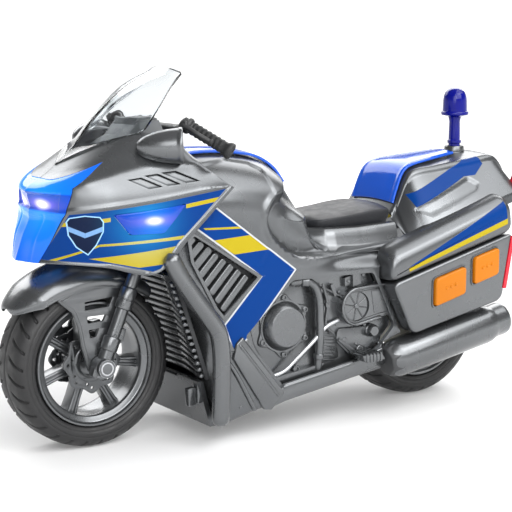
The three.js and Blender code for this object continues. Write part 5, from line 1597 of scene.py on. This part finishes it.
def build_box():
    """Pannier with framed pockets for two buttons and a slot for the reflector."""
    outline = rounded(BOX_OUTLINE, 4.5, 8)
    box = prism("box", outline, PANNIER_IN, PANNIER_OUT, 3.0, 6, 50)
    cutters = [slab("pocket", button_outline(c, 0.45), 2.4, 40, 55) for c in BUTTONS.values()]
    cutters.append(slab("slot", offset(REFLECTOR_OUTLINE, 0.35), 0.6, 41.6, 60))
    carved(box, *cutters)
    frames = []
    for centre in BUTTONS.values():
        ring = slab("ring", button_outline(centre, 1.1), 2.8, 46.2, 47.5)
        carved(ring, slab("inside", button_outline(centre, 0.4), 2.4, 40, 55))
        frames.append(bevelled(ring, 0.3, 2, 40))
    return merged("pannier_case", box, *frames)


def build_button(centre):
    """Rounded cap with three plain pips."""
    face = float(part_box("front_button_left")[1][1]) / MM
    cap = slab("cap", button_outline(centre, 0.05), 2.2, 42, face, 0.9, 4, 50)
    marks = []
    for k in (-1, 0, 1):
        x = centre[0] + k * 3.0
        z = centre[1] + k * 3.0 * BUTTON_SLOPE + 0.2
        marks.append(lathe("mark", [(0, 0), (0.95, 0), (0.85, 0.35), (0.5, 0.5), (0, 0.52)],
                           (x, face - 0.1, z), (x, face + 1, z), 20))
    return merged("button", cap, *marks)


def build_reflector():
    return prism("strip", rounded(REFLECTOR_OUTLINE, 0.5, 3), 42, 47.6, 0.35, 3)


def build_tail_light():
    return prism("tail_lamp", rounded(TAIL_LIGHT, 0.4, 3), 29.5, 34.5, 0.3)


EXHAUST_START = (-47, 38, 28)
EXHAUST_END = (-124, 38, 42.5)


def build_exhaust():
    """Silencer with an open tail pipe."""
    profile = [(0, 2.2), (5.8, 2.2), (6.6, 1.6), (7.4, 1.0), (8.2, 1.8), (9.5, 5.4), (9.75, 7), (9.95, 30),
               (9.95, 63.5), (9.7, 66.2), (8.9, 68.6), (8.6, 69.8), (8.6, 75.8), (8.3, 77.2), (7.6, 78.1),
               (6.6, 78.3), (6.2, 77.8), (6.2, 66), (0, 66)]
    return lathe("silencer", profile, EXHAUST_START, EXHAUST_END, 96)


def build_exhaust_mouth():
    """Eight-sided cone over the silencer's front end."""
    side, up, along = frame_along(np.subtract(EXHAUST_END, EXHAUST_START))
    rings = []
    for radius, at in ((6.2, -0.3), (7.4, -0.3), (8.6, 1.8), (9.5, 5.6)):
        rings.append([EXHAUST_START + along * at + radius * (side * math.cos(a) + up * math.sin(a))
                      for a in np.radians(np.arange(0, 360, 45) + 22.5)])
    return bevelled(loft("mouth", rings), 0.3, 2)


# ------------------------------------------------------------------ assembly
SILVER_LOOK = silver("silver_plastic")
DARK_SILVER = silver("grey_plastic", GREY)
BRIGHT = silver("bright_silver", "#C9CBCE")
BLUE_LOOK = plastic("gloss_blue", "#1553C4", 0.08, 0.16)
BLACK = plastic("satin_black", "#1C1D1E", 0.36, 0.5, 0.02, 0.1)
DASH = plastic("dash_grey", "#4A4C4E", 0.4, 0.55, 0.02, 0.08)
NAVY = plastic("beacon_navy", "#040B74", 0.1, 0.2)
ORANGE = plastic("button_orange", "#BC6C00", 0.28, 0.4)
RED = plastic("reflector_red", "#C9162C", 0.12, 0.25)
WHITE = plastic("gear_nylon", "#DCDAD0", 0.4, 0.5)
BOARD = plastic("board_green", "#2C6B3A", 0.35, 0.5)
CASE = plastic("cell_case", "#2F3E34", 0.4, 0.55)
DARK = plastic("deep_grey", "#3A3B3D", 0.4, 0.55, 0.02, 0.08)
STEEL = steel_look()
TYRE = tyre_look()
SEAT = seat_look()
BODY_SKIRT = silver("skirt_silver")
for gloss in (NAVY, ORANGE):
    gloss.set(Specular_IOR_Level=0.3)
CLEAR = clear_look()
FAIRING = fairing_look()
BODY = body_look()
TAIL = tail_look()
LID = lid_look()
LED_BOX = [(60, 112.8), (160, 112.8), (160, 121.4), (60, 120.6)]
FRONT_LENS = lens_look("front_lens_blue", "#0636A8", "#1284FF", (122.5, 9, 116), 12, LED_BOX)
SIDE_LENS = lens_look("side_lens_blue", "#081478", "#0808A8", (85.4, 38.6, 109), 10)

pair(build_fairing(), "fairing_skin", FAIRING, "silver_plastic", "fairing")
place(build_lens(), FRONT_LENS, CHASSIS, ["front_lens"])
pair(build_side_lamp(), "side_lamp", SIDE_LENS, "blue_lens", "side_lens")
place(build_screen(), CLEAR, CHASSIS, ["windscreen"])
place(build_dash(), DASH, CHASSIS, ["dash_panel"])
place(build_handlebar(), BLACK, CHASSIS, ["handlebar"])
pair(build_hand_guard(), "hand_guard_cone", SILVER_LOOK, "silver_plastic", "hand_guard", angle=50)

pair(build_body(), "body_shell", BODY, "silver_plastic", "body")
pair(build_frame_rails(), "frame_rails", SILVER_LOOK, "silver_plastic")
slats, grille_frame, grille_plate = build_side_grille()
pair(slats, "grille_slats", SILVER_LOOK, "grey_plastic", "side_grille")
pair(grille_frame, "grille_frame", SILVER_LOOK, "silver_plastic")
pair(grille_plate, "grille_plate", DARK, "grey_plastic")
place(build_tank_cover(), BLUE_LOOK, CHASSIS, ["tank_cover"])
place(build_tail_cover(), BLUE_LOOK, CHASSIS, ["tail_cover"])
seat = place(build_seat(), SEAT, CHASSIS, ["seat_pad"], 60)
pair(build_seat_base(), "seat_base", BODY_SKIRT, "silver_plastic", angle=60)

ENGINE_PIECES = [
    (build_clutch(), "engine_side", SILVER_LOOK, "grey_plastic", "engine_cover"),
    (build_belt_cover(), "belt_cover", SILVER_LOOK, "grey_plastic"),
    (build_hoses(), "coolant_hose", SILVER_LOOK, "grey_plastic"),
    (build_bright_pipe(), "bright_pipe", BRIGHT, "silver_plastic"),
    (build_engine_details(), "engine_details", SILVER_LOOK, "grey_plastic"),
    (build_foot_peg(), "foot_peg", SILVER_LOOK, "grey_plastic"),
    (build_crankcase(), "crankcase", SILVER_LOOK, "grey_plastic"),
]
for piece in ENGINE_PIECES:
    pair(*piece)

fins, fin_back = build_radiator()
place(fins, SILVER_LOOK, CHASSIS, ["radiator_grille"])
place(fin_back, DARK)
fin_back.name = "radiator_back"
pair(build_crash_bar(), "crash_bar_tube", SILVER_LOOK, "silver_plastic", "crash_bar", angle=60)
pair(build_front_panel(), "front_panel", SILVER_LOOK, "silver_plastic", angle=60)
pair(build_bar_bracket(), "bar_bracket", SILVER_LOOK, "grey_plastic")

WHEEL_BODIES = {"left": "front_wheel", "right": "front_wheel"}
AXLE_BORE = 2.1
ENDS = {"front": FRONT, "rear": REAR}
for end, centre in ENDS.items():
    place(build_tyre(centre[0], f"{end}_tread"), TYRE, f"{end}_wheel", [f"{end}_tyre"])
for end, centre in ENDS.items():
    spokes = build_rim(centre[0], f"{end}_spokes", AXLE_BORE)
    place(spokes, SILVER_LOOK, f"{end}_wheel", [f"{end}_rim"])
pair(build_disc(), "petal_disc", DARK_SILVER, "grey_plastic", "brake_disc", WHEEL_BODIES)
pair(build_axle_cap(), "axle_cap", SILVER_LOOK, "silver_plastic")
pair(build_fork(), "fork_leg", SILVER_LOOK, "silver_plastic", "fork")
place(build_fender(), SILVER_LOOK, CHASSIS, ["front_fender"])

place(build_tail(), TAIL, CHASSIS, ["tail_shell"])
place(build_beacon(), NAVY, CHASSIS, ["beacon"])
pair(build_lid(), "pannier_cover", LID, "silver_plastic", "pannier_lid")
pair(build_box(), "pannier_case", SILVER_LOOK, "grey_plastic", "pannier_box")
for end in ("front", "rear"):
    bodies = {side: f"{end}_key_{side}" for side in SIDES}
    pair(build_button(BUTTONS[end]), f"{end}_push_cap", ORANGE, "orange_plastic", f"{end}_button", bodies)
pair(build_reflector(), "red_reflector", RED, "red_plastic", "reflector")
pair(build_tail_light(), "tail_lamp", RED, "red_plastic", "tail_light")
pair(build_exhaust(), "silencer", SILVER_LOOK, "silver_plastic", "exhaust", angle=50)
pair(build_exhaust_mouth(), "silencer_mouth", DARK, "black_plastic")

# CAD nodes that keep their shape, and their looks
KEPT = {
    "belly_pan": DARK_SILVER, "battery_door": DARK_SILVER, "battery_pack": CASE, "power_switch": BLACK,
    "speaker": BLACK, "circuit_board": BOARD, "front_axle": STEEL, "rear_axle": STEEL, "flywheel": STEEL,
    "drive_gear": WHITE, "cluster_gear": WHITE, "gearbox": WHITE,
}
EDGED = ("belly_pan", "battery_door", "battery_pack", "power_switch", "gearbox")
for name, look in KEPT.items():
    node = NODES[name]
    for slot in node.material_slots:
        slot.material = look.material
    if name in EDGED:
        edge = node.modifiers.new("edge", "BEVEL")
        edge.width = 0.35 * MM
        edge.segments = 2
        edge.limit_method = "ANGLE"

# ------------------------------------------------------------------ studio
FLOOR_REACH = 30
corners = [(x * FLOOR_REACH, y * FLOOR_REACH, 0) for x, y in ((-1, -1), (1, -1), (1, 1), (-1, 1))]
floor_mesh = bpy.data.meshes.new("floor")
floor_mesh.from_pydata(corners, [], [(0, 1, 2, 3)])
floor = link("floor", floor_mesh)
floor_look = Look("pale_floor", "#DADADA", 0.8)
floor_look.vary(0.01, 2.0)
floor_look.put("Emission Color", floor_look.rgb(WHITE_LIGHT))
away = floor_look.vector("LENGTH", floor_look.position, output="Value")
floor_look.put("Emission Strength", floor_look.span(away, 0.2, 1.5, 0.16, 0.95))
floor_mesh.materials.append(floor_look.material)

world = bpy.data.worlds.new("studio")
bpy.context.scene.world = world
world.use_nodes = True
sky = world.node_tree
background = sky.nodes["Background"]
direction = sky.nodes.new("ShaderNodeTexCoord")
split = sky.nodes.new("ShaderNodeSeparateXYZ")
shades = sky.nodes.new("ShaderNodeValToRGB")
sky.links.new(direction.outputs["Generated"], split.inputs[0])
sky.links.new(split.outputs["Z"], shades.inputs[0])
sky.links.new(shades.outputs[0], background.inputs["Color"])
SKY_STRENGTH = 0.54
# height in the sky and brightness there
stops = [(0.0, 2.1), (0.1, 2.1), (0.2, 0.5), (0.5, 0.3), (0.8, 0.4), (1.0, 0.6)]
while len(shades.color_ramp.elements) < len(stops):
    shades.color_ramp.elements.new(0.5)
for element, (at, value) in zip(shades.color_ramp.elements, stops):
    element.position = at
    element.color = (value, value, value, 1)
background.inputs["Strength"].default_value = SKY_STRENGTH


def facing(obj, where, aim):
    """Puts a light or camera at a place, turned towards its aim."""
    obj.location = where
    obj.rotation_euler = (Vector(aim) - Vector(where)).to_track_quat("-Z", "Y").to_euler()
    return obj


LIGHT_AIM = (0, 0, 0.1)


def softbox(name, where, size, power):
    """Rectangular soft light; place and size in metres, power in watts."""
    data = bpy.data.lights.new(name, "AREA")
    data.shape = "RECTANGLE"
    data.size, data.size_y = size
    data.energy = power
    facing(link(name, data), where, LIGHT_AIM)


softbox("overhead", (-0.5, 0.45, 1.15), (1.3, 0.9), 11)
softbox("side", (-0.05, 1.15, 0.95), (1.6, 1.0), 22)
softbox("key", (0.75, 1.0, 0.6), (0.7, 0.6), 5)
softbox("rim", (-0.4, -1.0, 0.85), (2.2, 0.7), 20)

# the photo's camera
LENS_MM = 105.47
CAMERA_PLACE = (0.4042, 0.6229, 0.1964)
CAMERA_AIM = (0.0057, 0, 0.0810)
camera_data = bpy.data.cameras.new("camera")
camera_data.lens = LENS_MM
camera_data.sensor_width = 36
camera = link("camera", camera_data)
bpy.context.scene.camera = facing(camera, CAMERA_PLACE, CAMERA_AIM)
bpy.context.scene.view_settings.view_transform = "Standard"
